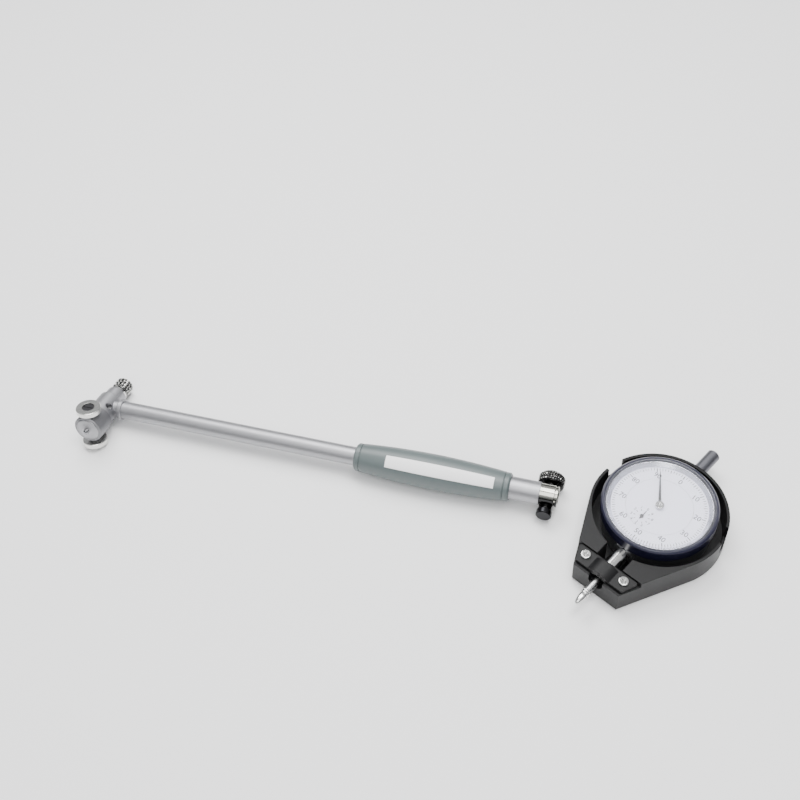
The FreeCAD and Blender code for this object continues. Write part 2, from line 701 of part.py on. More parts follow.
turned("guide_pin", indicatorPlace, [
    ("-1.5", "0"), ("guidePinReach", "0"), ("guidePinReach", "guidePinRadius"), ("-1.5", "guidePinRadius")],
    axis="H_Axis")
doc.getObject("guide_pin").Placement = indicatorPlace.multiply(
    Placement(Vector(0, get("guidePinAt"), get("stemHeight")), Rotation()))
turned("contact_point", indicatorPlace, [
    ("0", "-spindleEnd + 3.2"), ("1.1", "-spindleEnd + 3.2"), ("1.1", "-spindleEnd - 0.02"),
    ("contactCollar", "-spindleEnd - 0.02"), ("contactCollar", "-contactCollarEnd + 0.9"),
    ("contactNeck", "-contactCollarEnd"), ("contactNeck", "-contactTip + contactBall + 0.6"),
    ("contactBall", "-contactTip + contactBall"), ("0", "-contactTip")],
    offset="stemHeight", bends={7: ("contactBall", -1)})

returnSpring = coilPath(Vector(get("springSide"), get("2.3 - springPostAt"), get("stemHeight")),
                        get("springPostAt + guidePinAt - 5.1"), 1.25, 11)
lead = Vector(get("springSide"), -get("springPostAt") - 0.8, get("stemHeight") + 1.25)
tail = Vector(get("springSide"), get("guidePinAt") + 1.2, get("stemHeight") + 1.25)
placed("return_spring", wireCoil([lead] + returnSpring + [tail], 0.13), indicatorPlace)

middlePlate = startBody("middle_plate", indicatorPlace)
boss(middlePlate, "disc", "XY_Plane", "postTop", "plateThick", "0", "0", "middlePlateRadius")
holes(middlePlate, "screw_holes", "XY_Plane", "postTop - 1", "3", plateSpots, "1.1")
bore(middlePlate, "shaft_hole", "XY_Plane", "postTop - 1", "3", "shaftX", "shaftY", "1")
bore(middlePlate, "centre_pivot", "XY_Plane", "postTop - 1", "3", "0", "0", "0.32 + runningFit")
bore(middlePlate, "back_pivot", "XY_Plane", "postTop - 1", "3", "-shaftX", "-shaftY", "0.4 + runningFit")
pillarSpots = [(x, y) for x in ("-pillarX", "pillarX") for y in ("-pillarY", "pillarY")]
holes(middlePlate, "pillar_holes", "XY_Plane", "postTop - 1", "3", pillarSpots, "0.8 + fit")

upperPlate = startBody("upper_plate", indicatorPlace)
boss(upperPlate, "disc", "XY_Plane", "upperPlateBottom", "plateThick", "0", "0", "upperPlateRadius")
boss(upperPlate, "spring_stud", "XY_Plane", "upperPlateBottom - 0.75", "0.9", "-shaftX + 5.3", "-shaftY",
     "0.5")
bore(upperPlate, "centre_hole", "XY_Plane", "upperPlateBottom - 1", "3", "0", "0", "0.6 + runningFit")
bore(upperPlate, "shaft_hole", "XY_Plane", "upperPlateBottom - 1", "3", "shaftX", "shaftY",
     "0.6 + runningFit")
bore(upperPlate, "back_pivot", "XY_Plane", "upperPlateBottom - 1", "3", "-shaftX", "-shaftY",
     "0.4 + runningFit")
holes(upperPlate, "pillar_holes", "XY_Plane", "upperPlateBottom - 1", "3", pillarSpots, "0.8 + fit")

plateScrew = screw(1.8, 1.0, 1.0, 4.2, 0.5, 0.5)
four = []
pillars = []
for x in (-1, 1):
    for y in (-1, 1):
        one = plateScrew.copy()
        one.translate(Vector(x * get("postAt"), y * get("postAt"), get("middlePlateTop")))
        four.append(one)
        at = Vector(x * get("pillarX"), y * get("pillarY"), get("middlePlateTop"))
        pillar = cylinder("pillarRadius", "upperPlateBottom - middlePlateTop", at)
        ends = cylinder("0.8", "upperPlateTop - postTop", at - Vector(0, 0, get("plateThick")))
        pillars.append(pillar.fuse(ends))
placed("plate_screws", Part.makeCompound(four), indicatorPlace)
placed("plate_pillars", Part.makeCompound(pillars), indicatorPlace)

towards = math.degrees(math.atan2(-get("shaftY"), -get("shaftX")))
thin = get("toothThin")
gearBottom = get("gearBottom")
gearThick = get("gearThick")

rackPinion = wheel(int(get("pinionTeeth")), gearModule, 180 / get("pinionTeeth"), get("pinionBottom"),
                   get("pinionTop - pinionBottom"), thin)
firstGear = wheel(int(get("gearTeeth")), gearModule, towards, gearBottom, gearThick, thin)
shaft = rackPinion.fuse([
    cylinder("0.5", "pinionBottom - webTop - 0.2", (0, 0, get("webTop + 0.5"))), firstGear,
    cylinder("0.85", "gearBottom - pinionTop + 0.1", (0, 0, get("pinionTop"))),
    cylinder("0.6", "19.9 - gearBottom", (0, 0, gearBottom))])
placed("rack_pinion", shaft, indicatorPlace.multiply(
    Placement(Vector(get("shaftX"), get("shaftY"), 0), Rotation())))

centre = wheel(int(get("centreTeeth")), gearModule, towards + 180 + 180 / get("centreTeeth"), gearBottom - 0.4,
               gearThick + 0.9, thin)
centre = centre.fuse([
    cylinder("0.32", "1.3", (0, 0, get("postTop"))),
    cylinder("0.6", "20.9 - gearBottom", (0, 0, gearBottom + 0.2))])
placed("centre_pinion", centre, indicatorPlace)

backGear = wheel(int(get("gearTeeth")), gearModule, towards + 180, gearBottom, gearThick, thin)
backGear = backGear.fuse([
    cylinder("0.4", "upperPlateTop - postTop", (0, 0, get("postTop"))),
    cylinder("0.6", "upperPlateBottom - gearBottom - 0.1", (0, 0, gearBottom))])
placed("backlash_gear", backGear, indicatorPlace.multiply(
    Placement(Vector(-get("shaftX"), -get("shaftY"), 0), Rotation())))

# Hairspring: a flat spiral from the gear's shaft to the stud of the upper plate.
spiralInner = []
spiralOuter = []
for i in range(4 * 16 + 1):
    angle = 2 * math.pi * i / 16
    radius = 0.75 + 3.8 * i / 64
    spiralInner.append(Vector(radius * math.cos(angle), radius * math.sin(angle), 0))
    spiralOuter.append(Vector((radius + 0.12) * math.cos(angle), (radius + 0.12) * math.sin(angle), 0))
spiral = spiralInner + spiralOuter[::-1] + [spiralInner[0]]
hairspring = Part.Face(Part.makePolygon(spiral)).extrude(Vector(0, 0, 0.4))
placed("hairspring", hairspring, indicatorPlace.multiply(
    Placement(Vector(-get("shaftX"), -get("shaftY"), get("gearBottom + 0.95")), Rotation())))

# Dial, bezel and crystal; the middle of the dial stays still and its ring turns with the bezel.
middleDial = startBody("centre_dial", indicatorPlace)
boss(middleDial, "disc", "XY_Plane", "dialBottom", "dialThick", "0", "0", "centreDialRadius")
sketch = sketchOn(middleDial, "feet", "XY_Plane", "upperPlateTop")
circle(sketch, "-12", "0", "1.2")
circle(sketch, "12", "0", "1.2")
extrude(middleDial, sketch, "dialBottom - upperPlateTop + 0.1")
bore(middleDial, "centre_hole", "XY_Plane", "dialBottom - 1", "3", "0", "0", "0.9")
bore(middleDial, "shaft_hole", "XY_Plane", "dialBottom - 1", "3", "shaftX", "shaftY", "0.9")
turned("dial_face", indicatorPlace, [
    ("centreDialRadius + centreDialGap", "dialBottom"), ("dialRadius", "dialBottom"),
    ("dialRadius", "dialTop"),
    ("centreDialRadius + centreDialGap", "dialTop")], role="XZ_Plane")
turned("reflector_ring", indicatorPlace, [
    ("ringInner", "dialTop"), ("dialRadius", "dialTop"), ("dialRadius", "crystalSeat"),
    ("ringTopRadius - 0.15", "crystalSeat"), ("ringInner", "dialTop + 0.5")], role="XZ_Plane")
turned("bezel", indicatorPlace, [
    ("bezelBore", "bezelBottom"), ("bezelRadius - 0.4", "bezelBottom"), ("bezelRadius", "bezelBottom + 0.4"),
    ("bezelRadius", "bezelTop - 0.8"), ("bezelRadius - 0.8", "bezelTop"),
    ("crystalRadius + 0.25", "bezelTop"),
    ("crystalRadius + fit", "bezelTop - 0.25"), ("crystalRadius + fit", "crystalSeat"),
    ("bezelBore", "crystalSeat"), ("bezelBore", "dialBottom"), ("bezelBore - 0.9", "dialBottom"),
    ("bezelBore - 0.9", "dialBottom - 0.3"), ("bezelBore", "dialBottom - 0.3")], role="XZ_Plane")
crystal = startBody("crystal", indicatorPlace)
boss(crystal, "disc", "XY_Plane", "crystalSeat", "bezelTop - crystalSeat - 0.1", "0", "0", "crystalRadius")

hand = startBody("main_pointer", indicatorPlace.multiply(
    Placement(Vector(), Rotation(Vector(0, 0, 1), get("pointerTurn")))))
boss(hand, "hub", "XY_Plane", "pointerBottom", "0.5", "0", "0", "pointerHub")
sketch = sketchOn(hand, "needle", "XY_Plane", "pointerBottom")
outline(sketch, [("-0.55", "-pointerTail"), ("0.55", "-pointerTail"), ("0.4", "0"), ("0.12", "pointerReach"),
                 ("-0.12", "pointerReach"), ("-0.4", "0")])
extrude(hand, sketch, "0.22")
bore(hand, "hole", "XY_Plane", "pointerBottom - 1", "3", "0", "0", "0.6 + 0.01")

smallHand = startBody("small_pointer", indicatorPlace.multiply(
    Placement(Vector(get("shaftX"), get("shaftY"), 0), Rotation(Vector(0, 0, 1), get("smallPointerTurn")))))
boss(smallHand, "hub", "XY_Plane", "dialTop + 0.3", "0.35", "0", "0", "smallPointerHub")
sketch = sketchOn(smallHand, "needle", "XY_Plane", "dialTop + 0.3")
outline(sketch, [("-0.3", "-smallPointerTail"), ("0.3", "-smallPointerTail"), ("0.25", "0"),
                 ("0.1", "smallPointerReach"), ("-0.1", "smallPointerReach"), ("-0.25", "0")])
extrude(smallHand, sketch, "0.2")
bore(smallHand, "hole", "XY_Plane", "dialTop - 1", "3", "0", "0", "0.6 + 0.01")

# Measuring head: the block, its bell crank and the contact that works it. Y is the measuring axis.
head = turned("head_body", headPlace, [
    ("0", "-barrelEnd"), ("barrelRadius", "-barrelEnd"), ("barrelRadius", "-blockShoulder"),
    ("blockRadius", "-blockShoulder"), ("blockRadius", "blockEnd - blockRound"),
    ("blockRadius - blockRound", "blockEnd"),
    ("neckRadius", "blockEnd"), ("neckRadius", "neckEnd"), ("anvilSpigot", "neckEnd"),
    ("anvilSpigot", "anvilSpigotEnd"), ("0", "anvilSpigotEnd")], bends={4: ("blockRound", 1)})
boss(head, "tube_boss", "YZ_Plane", "0", "bossEnd", "0", "0", "bossRadius")
boss(head, "tube_spigot", "YZ_Plane", "bossEnd - 1", "tubeSpigotLong + 1", "0", "0", "tubeBore - fit")
bore(head, "plunger_bore", "XZ_Plane", "3", "barrelEnd", "0", "0", "plungerBore")
sketch = sketchOn(head, "crank_space", "XY_Plane")
rectangle(sketch, "-2", "crankArm + crankHub + spacing", "-crankArm - crankHub - 0.3", "2.6")
extrude(head, sketch, "crankThick + 0.6", cut=True, both=True)
bore(head, "rod_space", "YZ_Plane", "crankArm", "bossEnd + tubeSpigotLong", "0", "0", "rodRadius + 0.9")
bore(head, "crank_hole", "XY_Plane", "-4.5", "12", "crankArm", "-crankArm", "crankPin + 0.02")
bore(head, "crank_seat", "XY_Plane", "3.9", "6", "crankArm", "-crankArm", "1.9")
bore(head, "anvil_bore", "XZ_Plane", "-anvilSpigotEnd", "anvilBoreDeep", "0", "0", "anvilBore")

turned("nose_bush", headPlace, [
    ("plungerRadius + runningFit", "-barrelEnd - noseDome"), ("noseRadius", "-barrelEnd - 0.02"),
    ("plungerBore - runningFit", "-barrelEnd - 0.02"), ("plungerBore - runningFit", "-14.5"),
    ("plungerRadius + runningFit", "-14.5")], bends={0: ("18", -1)})
turned("contact_plunger", headPlace, [
    ("0", "-tipReach + 1.9"), ("0.8", "-tipReach + 1.9"), ("0.8", "-tipReach + 0.8"),
    ("plungerRadius", "-tipReach + 0.8"), ("plungerRadius", "-14.2"), ("plungerFlange", "-14.2"),
    ("plungerFlange", "-13"), ("plungerRadius", "-13"), ("plungerRadius", "-crankArm - crankNose - spacing"),
    ("0", "-crankArm - crankNose - spacing")])
turned("contact_tip", headPlace, [
    ("0", "-tipReach"), ("tipRadius", "-tipReach + 0.5"), ("tipRadius", "-tipReach + 0.78"),
    ("0.78", "-tipReach + 0.78"), ("0.78", "-tipReach + 1.85"), ("0", "-tipReach + 1.85")],
    bends={0: ("2.3", 1)})

crank = startBody("bell_crank", headPlace)
for name, x, y, radius in (("hub", "crankArm", "-crankArm", "crankHub"), ("near_nose", "0", "-crankArm", "crankNose"),
                           ("far_nose", "crankArm", "0", "crankNose")):
    boss(crank, name, "XY_Plane", "0", "crankThick", x, y, radius, both=True)
    if name == "hub":
        sketch = sketchOn(crank, "arms", "XY_Plane")
        outline(sketch, [
            ("0", "-crankArm - crankWeb"), ("crankArm + crankWeb", "-crankArm - crankWeb"),
            ("crankArm + crankWeb", "0"), ("crankArm - crankWeb", "0"),
            ("crankArm - crankWeb", "-crankArm + crankWeb"), ("0", "-crankArm + crankWeb")])
        extrude(crank, sketch, "crankThick", both=True)
bore(crank, "pin_hole", "XY_Plane", "0", "crankThick + 1", "crankArm", "-crankArm", "crankPin + runningFit",
     both=True)
turned("crank_pin", headPlace.multiply(Placement(Vector(get("crankArm"), -get("crankArm"), 0), Rotation())), [
    ("0", "-4.4"), ("crankPin", "-4.4"), ("crankPin", "3.95"), ("1.7", "3.95"), ("1.7", "4.5"), ("0", "4.7")],
    role="XZ_Plane")

# Centring bridge: a sprung sleeve with two rollers.
bridge = turned("centring_bridge", headPlace, [
    ("blockRadius + 0.06", "-bridgeBack"), ("bridgeRadius", "-bridgeBack"),
    ("bridgeRadius", "-barrelEnd + 0.5"),
    ("bridgeRadius - 0.5", "-barrelEnd + 0.02"), ("barrelRadius + 0.06", "-barrelEnd + 0.02"),
    ("barrelRadius + 0.06", "-barrelEnd + 1"), ("blockRadius + 0.06", "-barrelEnd + 1")])
boss(bridge, "upper_boss", "XY_Plane", "7.5", "rollerInner - 7.5 - 0.2", "0", "-rollerAt", "rollerBoss")
boss(bridge, "lower_boss", "XY_Plane", "-rollerInner + 0.2", "rollerInner - 7.5 - 0.2", "0", "-rollerAt",
     "rollerBoss")
bore(bridge, "upper_hole", "XY_Plane", "7.7", "3", "0", "-rollerAt", "1.23")
bore(bridge, "lower_hole", "XY_Plane", "-10.7", "3", "0", "-rollerAt", "1.23")
coil = coilPath(Vector(0, -get("barrelEnd") + 1.45, 0), 7.9, 6.63, 4)
placed("bridge_spring", wireCoil(coil, 0.3), headPlace)

roller = [
    ("rollerBore", "-rollerThick / 2"), ("rollerRadius - 0.3", "-rollerThick / 2"),
    ("rollerRadius", "-rollerThick / 2 + 0.3"), ("rollerRadius", "rollerThick / 2 - 0.3"),
    ("rollerRadius - 0.3", "rollerThick / 2"), ("rollerRecess", "rollerThick / 2"),
    ("rollerRecess", "0.1"), ("rollerBore", "0.1")]
rollerPin = cylinder("rollerBore - runningFit", "1.9", (0, 0, -1.65)).fuse([
    cylinder("rollerRecess - 0.3", "0.95", (0, 0, 0.2)), cylinder("1.2", "1.4", (0, 0, -3.05))])
rollerPin = rollerPin.cut(Part.makeBox(7, 0.8, 0.5, Vector(-3.5, -0.4, 0.75)))
pair = []
for label, side in (("upper_roller", 1), ("lower_roller", -1)):
    at = Placement(Vector(0, -get("rollerAt"), side * get("rollerMiddle")),
                   Rotation(Vector(1, 0, 0), 0 if side > 0 else 180))
    turned(label, headPlace.multiply(at), roller, role="XZ_Plane")
    one = rollerPin.copy()
    one.Placement = at
    pair.append(one)
placed("roller_screws", Part.makeCompound(pair), headPlace)

turned("anvil_washer", headPlace, [
    ("anvilSpigot + runningFit", "neckEnd"), ("washerRadius", "neckEnd"),
    ("washerRadius", "neckEnd + washerThick"), ("anvilSpigot + runningFit", "neckEnd + washerThick")])
turned("anvil_lock_nut", headPlace, [
    ("anvilSpigot + runningFit", "nutStart"), ("nutCollar", "nutStart"),
    ("nutCollar", "nutStart + nutCollarLong"),
    ("nutRadius - 0.3", "nutStart + nutCollarLong"), ("nutRadius", "nutStart + nutCollarLong + 0.3"),
    ("nutRadius", "nutEnd"), ("anvilBore + 0.3", "nutEnd"), ("anvilBore + 0.3", "anvilSpigotEnd + 0.4"),
    ("anvilSpigot + runningFit", "anvilSpigotEnd + 0.4")])

# Tube, push rod and grip along X.
turned("tube_ring", headPlace, [
    ("tubeStart", "tubeRadius + fit"), ("tubeStart + tubeRingLong", "tubeRadius + fit"),
    ("tubeStart + tubeRingLong", "tubeRingRadius - 0.3"),
    ("tubeStart + tubeRingLong - 0.3", "tubeRingRadius"),
    ("tubeStart + 0.5", "tubeRingRadius"), ("tubeStart", "tubeRingRadius - 0.5")], axis="H_Axis")
turned("tube", headPlace, [
    ("tubeStart", "tubeBore"), ("tubeEnd", "tubeBore"), ("tubeEnd", "tubeRadius"),
    ("tubeStart", "tubeRadius")],
    axis="H_Axis")
for label, start in (("rod_guide_front", "tubeStart + tubeSpigotLong + 1"), ("rod_guide_rear", "rearGuideAt")):
    turned(label, headPlace, [
        (start, "rodRadius + runningFit"), (start + " + guideLong", "rodRadius + runningFit"),
        (start + " + guideLong", "tubeBore - 0.02"), (start, "tubeBore - 0.02")], axis="H_Axis")
turned("push_rod", headPlace, [
    ("crankArm + crankNose + spacing", "0"), ("rodEnd", "0"), ("rodEnd", "rodRadius"),
    ("rodCollarAt + 1.5", "rodRadius"), ("rodCollarAt + 1.5", "tubeBore - 0.6"),
    ("rodCollarAt", "tubeBore - 0.6"), ("rodCollarAt", "rodRadius"),
    ("crankArm + crankNose + spacing", "rodRadius")], axis="H_Axis")
rodCoil = coilPath(Vector(0, 0, 0), get("rearGuideAt - rodCollarAt - 2.1"), 2.1, 7)
rodCoil = [Vector(get("rodCollarAt + 1.8") + p.y, p.x, p.z) for p in rodCoil]
placed("rod_spring", wireCoil(rodCoil, 0.25), headPlace)

crown = "gripEndRadius + gripStep"
grip = turned("grip_sleeve", clampPlace, [
    ("gripStart", "tubeRadius + fit"), ("gripEnd", "tubeRadius + fit"),
    ("gripEnd", "gripEndRadius - gripEndChamfer"),
    ("gripEnd - gripEndChamfer", "gripEndRadius"), ("gripEnd - gripLand", "gripEndRadius"),
    ("gripEnd - gripLand", "gripEndRadius - gripGrooveDeep"),
    ("gripEnd - gripLand - gripGroove", "gripEndRadius - gripGrooveDeep"), ("gripEnd - gripLand - gripGroove", crown),
    ("gripStart + gripLand + gripGroove", crown),
    ("gripStart + gripLand + gripGroove", "gripEndRadius - gripGrooveDeep"),
    ("gripStart + gripLand", "gripEndRadius - gripGrooveDeep"), ("gripStart + gripLand", "gripEndRadius"),
    ("gripStart + gripEndChamfer", "gripEndRadius"), ("gripStart", "gripEndRadius - gripEndChamfer")],
    axis="H_Axis", bends={7: ("gripArc", 1)})

# Bare strip on the grip, following its swell.
strip = startBody("name_strip", clampPlace.multiply(
    Placement(Vector(), Rotation(Vector(1, 0, 0), 180 - get("stripTurn")))))
middleX = get("gripStart + gripLong / 2")
arcCentre = get("gripRadius - gripArc")


def crownAt(x, lift):
    return arcCentre + math.sqrt((get("gripArc") + lift) ** 2 - (x - middleX) ** 2)


stripEnds = (get("stripStart"), get("stripStart + stripLong"))
sketch = sketchOn(strip, "profile", "XY_Plane")
outline(sketch, [
    (stripEnds[0], crownAt(stripEnds[0], 0.01)),
    (stripEnds[1], crownAt(stripEnds[1], 0.01)),
    (stripEnds[1], crownAt(stripEnds[1], get("stripThick"))),
    (stripEnds[0], crownAt(stripEnds[0], get("stripThick")))],
    bends={0: ("gripArc + 0.01", -1), 2: ("gripArc + stripThick", 1)})
feature = revolve(strip, sketch, "H_Axis", get("stripArc"))
feature.Midplane = True

turned("neck_tube", clampPlace, [
    ("neckTubeStart", "tubeRadius + fit"), ("tubeEnd + 0.3", "tubeRadius + fit"),
    ("tubeEnd + 0.3", "clampBore + 0.3"), ("neckTubeEnd - clampSpigotLong - 0.2", "clampBore + 0.3"),
    ("neckTubeEnd - clampSpigotLong - 0.2", "clampSpigot + fit"),
    ("neckTubeEnd", "clampSpigot + fit"), ("neckTubeEnd", "neckTubeRadius"),
    ("neckTubeStart", "neckTubeRadius")],
    axis="H_Axis")

# Clamp: a collar with a cotter drawn on to the indicator's stem by a thumb nut.
collar = turned("clamp_collar", clampPlace, [
    ("neckTubeEnd - clampSpigotLong", "0"), ("clampEnd", "0"), ("clampEnd", "clampRingRadius - 0.2"),
    ("clampEnd - 0.2", "clampRingRadius"), ("clampEnd - 1", "clampRingRadius"),
    ("clampEnd - 1", "clampRingRadius - 0.3"), ("clampStart + clampMain", "clampRingRadius - 0.3"),
    ("clampStart + clampMain", "clampRadius - 0.2"), ("clampStart + clampMain - 0.2", "clampRadius"),
    ("clampStart", "clampRadius"), ("clampStart", "clampSpigot"),
    ("neckTubeEnd - clampSpigotLong", "clampSpigot")],
    axis="H_Axis")
boss(collar, "cross_boss", "XZ_Plane", "-crossBossFar", "crossBossNear + crossBossFar", "cotterAt",
     "-cotterBelow", "crossBoss")
bore(collar, "stem_bore", "YZ_Plane", "neckTubeEnd - clampSpigotLong - 1", "clampEnd", "0", "0", "clampBore")
bore(collar, "cotter_hole", "XZ_Plane", "-crossBossFar - 1", "crossBossNear + crossBossFar + 2", "cotterAt",
     "-cotterBelow", "cotterRadius + 0.05")

clampFrame = clampPlace.multiply(Placement(Vector(get("cotterAt"), 0, -get("cotterBelow")), Rotation()))
cotter = turned("clamp_cotter", clampFrame, [
    ("0", "-cotterHeadEnd"), ("cotterHead - 0.4", "-cotterHeadEnd"), ("cotterHead", "-cotterHeadEnd + 0.4"),
    ("cotterHead", "-crossBossNear - cotterTravel - 0.1"),
    ("cotterRadius", "-crossBossNear - cotterTravel - 0.1"),
    ("cotterRadius", "crossBossFar - 0.6"), ("cotterThread", "crossBossFar - 0.6"),
    ("cotterThread", "thumbStart + thumbWide + 0.3"), ("0", "thumbStart + thumbWide + 0.3")])
bore(cotter, "stem_notch", "YZ_Plane", "0", "12", "0", "cotterBelow", "clampBore + 0.12", both=True)
turned("thumb_nut", clampFrame, [
    ("cotterThread + runningFit", "crossBossFar + spacing"), ("cotterHead - 1.1", "crossBossFar + spacing"),
    ("cotterHead - 0.4", "thumbStart"), ("thumbRadius - 1", "thumbStart"),
    ("thumbRadius", "thumbStart + 0.8"),
    ("thumbRadius", "thumbStart + thumbWide - 0.3"), ("thumbRadius - 0.3", "thumbStart + thumbWide"),
    ("cotterThread + runningFit", "thumbStart + thumbWide")])

doc.recompute()
for item in doc.Objects:
    if "Invalid" in item.State or "Error" in item.State:
        raise RuntimeError("%s is not sound: %s" % (item.Label, item.State))

os.makedirs("parts", exist_ok=True)
for item in parts:
    shape = item.Shape
    if shape.isNull() or not shape.isValid() or shape.Volume <= 0:
        raise RuntimeError("%s has no sound shape" % item.Label)
    shape.exportStep("parts/%s.step" % item.Label)
    print("%-18s %10.2f mm3" % (item.Label, shape.Volume))
print(len(parts), "parts")
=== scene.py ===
import math
import bpy
from mathutils import Matrix, Vector


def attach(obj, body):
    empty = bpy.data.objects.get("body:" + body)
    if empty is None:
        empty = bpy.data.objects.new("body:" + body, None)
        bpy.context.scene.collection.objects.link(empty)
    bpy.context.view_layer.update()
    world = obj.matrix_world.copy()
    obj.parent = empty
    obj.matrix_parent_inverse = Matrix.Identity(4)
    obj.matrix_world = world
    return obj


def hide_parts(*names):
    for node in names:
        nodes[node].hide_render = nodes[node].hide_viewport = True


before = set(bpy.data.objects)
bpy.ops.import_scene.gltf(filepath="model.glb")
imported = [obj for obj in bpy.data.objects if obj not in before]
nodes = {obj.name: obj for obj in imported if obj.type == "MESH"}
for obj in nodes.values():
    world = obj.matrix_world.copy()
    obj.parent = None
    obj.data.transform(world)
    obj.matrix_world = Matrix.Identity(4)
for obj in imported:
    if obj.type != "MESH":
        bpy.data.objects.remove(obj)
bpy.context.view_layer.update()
print("frame loaded")

mm = 0.001
indicatorTurn = math.radians(-28.3)  # how the indicator lies, about Z
indicatorPlace = Matrix.Rotation(indicatorTurn, 4, "Z")
ontoY = Matrix.Rotation(math.radians(-90), 4, "X")  # +Z becomes +Y
ontoMinusY = Matrix.Rotation(math.radians(90), 4, "X")


def linear(hexColour):
    # sRGB hex to linear colour
    parts = [int(hexColour[i:i + 2], 16) / 255 for i in (1, 3, 5)]
    return [c / 12.92 if c <= 0.04045 else ((c + 0.055) / 1.055) ** 2.4 for c in parts] + [1.0]


def scaledBy(colour, factor):
    # a lighter or darker tone of a linear colour
    return [min(c * factor, 1) for c in colour[:3]] + [1.0]


def perMetre(size):
    # the scale of a noise whose grain is this many mm
    return 1 / (size * mm)


def addNode(tree, kind, settings=None, links=None, bands=()):
    # adds a node, sets its properties or sockets, links its sockets and fills a ramp's bands
    node = tree.nodes.new(kind)
    for name, value in (settings or {}).items():
        if isinstance(name, int) or name in node.inputs:
            node.inputs[name].default_value = value
        else:
            setattr(node, name, value)
    for name, source in (links or {}).items():
        tree.links.new(source, node.inputs[name])
    if bands:
        for spot, colour in bands[1:-1]:
            node.color_ramp.elements.new(spot)
        for band, (spot, colour) in zip(node.color_ramp.elements, bands):
            band.position = spot
            band.color = colour
    return node


def newMaterial(name, sockets):
    material = bpy.data.materials.new(name)
    material.use_nodes = True
    shader = material.node_tree.nodes["Principled BSDF"]
    for socket, value in sockets.items():
        shader.inputs[socket].default_value = linear(value) if isinstance(value, str) else value
    return material, material.node_tree, shader


def linkShader(tree, shader, links):
    for socket, source in links.items():
        tree.links.new(source, shader.inputs[socket])


def nothingSelected():
    if bpy.context.object and bpy.context.object.mode != "OBJECT":
        bpy.ops.object.mode_set(mode="OBJECT")
    bpy.ops.object.select_all(action="DESELECT")


def onlySelected(piece):
    nothingSelected()
    piece.select_set(True)
    bpy.context.view_layer.objects.active = piece


def moved(x, y, z):
    # a shift in mm
    return Matrix.Translation(Vector((x, y, z)) * mm)


def settle(piece, matrix):
    # puts the piece's place into its mesh
    piece.data.transform(matrix)
    piece.data.update()
    return piece


def joinPieces(pieces):
    onlySelected(pieces[0])
    for piece in pieces:
        piece.select_set(True)
    bpy.ops.object.join()
    return bpy.context.object


def copyPiece(piece, matrix):
    twin = piece.copy()
    twin.data = piece.data.copy()
    bpy.context.collection.objects.link(twin)
    return settle(twin, matrix)


def finishPiece(piece, name, material, body):
    piece.name = name
    piece.data.name = name
    piece.data.materials.clear()
    piece.data.materials.append(material)
    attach(piece, body)
    return piece


# camera, floor and light

cameraView = {
    "place": (-16.6, -313.4, 474.6),  # mm
    "right": (0.96162, 0.26654, -0.06512),
    "up": (-0.16710, 0.75716, 0.63150),
    "lens": 48.38,  # mm on a 36 mm sensor
    "sensor": 36,
    "nearest": 0.01,  # m
}
right = Vector(cameraView["right"]).normalized()
back = right.cross(Vector(cameraView["up"])).normalized()
up = back.cross(right)
bpy.ops.object.camera_add()
camera = bpy.context.object
camera.name = "photoCamera"
camera.data.lens = cameraView["lens"]
camera.data.sensor_width = cameraView["sensor"]
camera.data.clip_start = cameraView["nearest"]
camera.matrix_world = moved(*cameraView["place"]) @ Matrix((right, up, back)).transposed().to_4x4()
bpy.context.scene.camera = camera

floorLook = {
    "size": 6.0, "place": (-0.15, 0, -0.0002),  # m, just under the object
    "colour": "#f8f8f8", "roughness": 0.75,
    "fibre": 1.11, "fibreHigh": 0.1, "fibreStrength": 0.05,  # mm, mm, share
}
nothingSelected()
bpy.ops.mesh.primitive_plane_add(size=floorLook["size"], location=floorLook["place"])
floor = bpy.context.object
floor.name = "floor"
# rolled background paper: matt, with fibres that only just show
floorPaper, paperTree, paperShader = newMaterial(
    "paperSweep", {"Base Color": floorLook["colour"], "Roughness": floorLook["roughness"]})
paperPlace = addNode(paperTree, "ShaderNodeTexCoord")
paperFibre = addNode(paperTree, "ShaderNodeTexNoise",
                     {"Scale": perMetre(floorLook["fibre"]), "Detail": 3.0},
                     {"Vector": paperPlace.outputs["Object"]})
paperBump = addNode(paperTree, "ShaderNodeBump",
                    {"Strength": floorLook["fibreStrength"], "Distance": floorLook["fibreHigh"] * mm},
                    {"Height": paperFibre.outputs["Fac"]})
linkShader(paperTree, paperShader, {"Normal": paperBump.outputs["Normal"]})
floor.data.materials.append(floorPaper)

skyLook = {
    # a studio that is dark low down, so that metal gets dark edges, and white above
    "bands": [(0.0, "#222327"), (0.16, "#3a3b40"), (0.36, "#a9abaf"), (0.58, "#f2f3f6"),
              (1.0, "#ffffff")],
    "strength": 0.8,
}
world = bpy.data.worlds.new("studio")
bpy.context.scene.world = world
world.use_nodes = True
worldTree = world.node_tree
background = worldTree.nodes["Background"]
skyPlace = addNode(worldTree, "ShaderNodeTexCoord")
skyHeight = addNode(worldTree, "ShaderNodeSeparateXYZ", links={"Vector": skyPlace.outputs["Generated"]})
sky = addNode(worldTree, "ShaderNodeValToRGB", links={"Fac": skyHeight.outputs["Z"]},
              bands=[(spot, linear(colour)) for spot, colour in skyLook["bands"]])
worldTree.links.new(sky.outputs["Color"], background.inputs["Color"])
background.inputs["Strength"].default_value = skyLook["strength"]

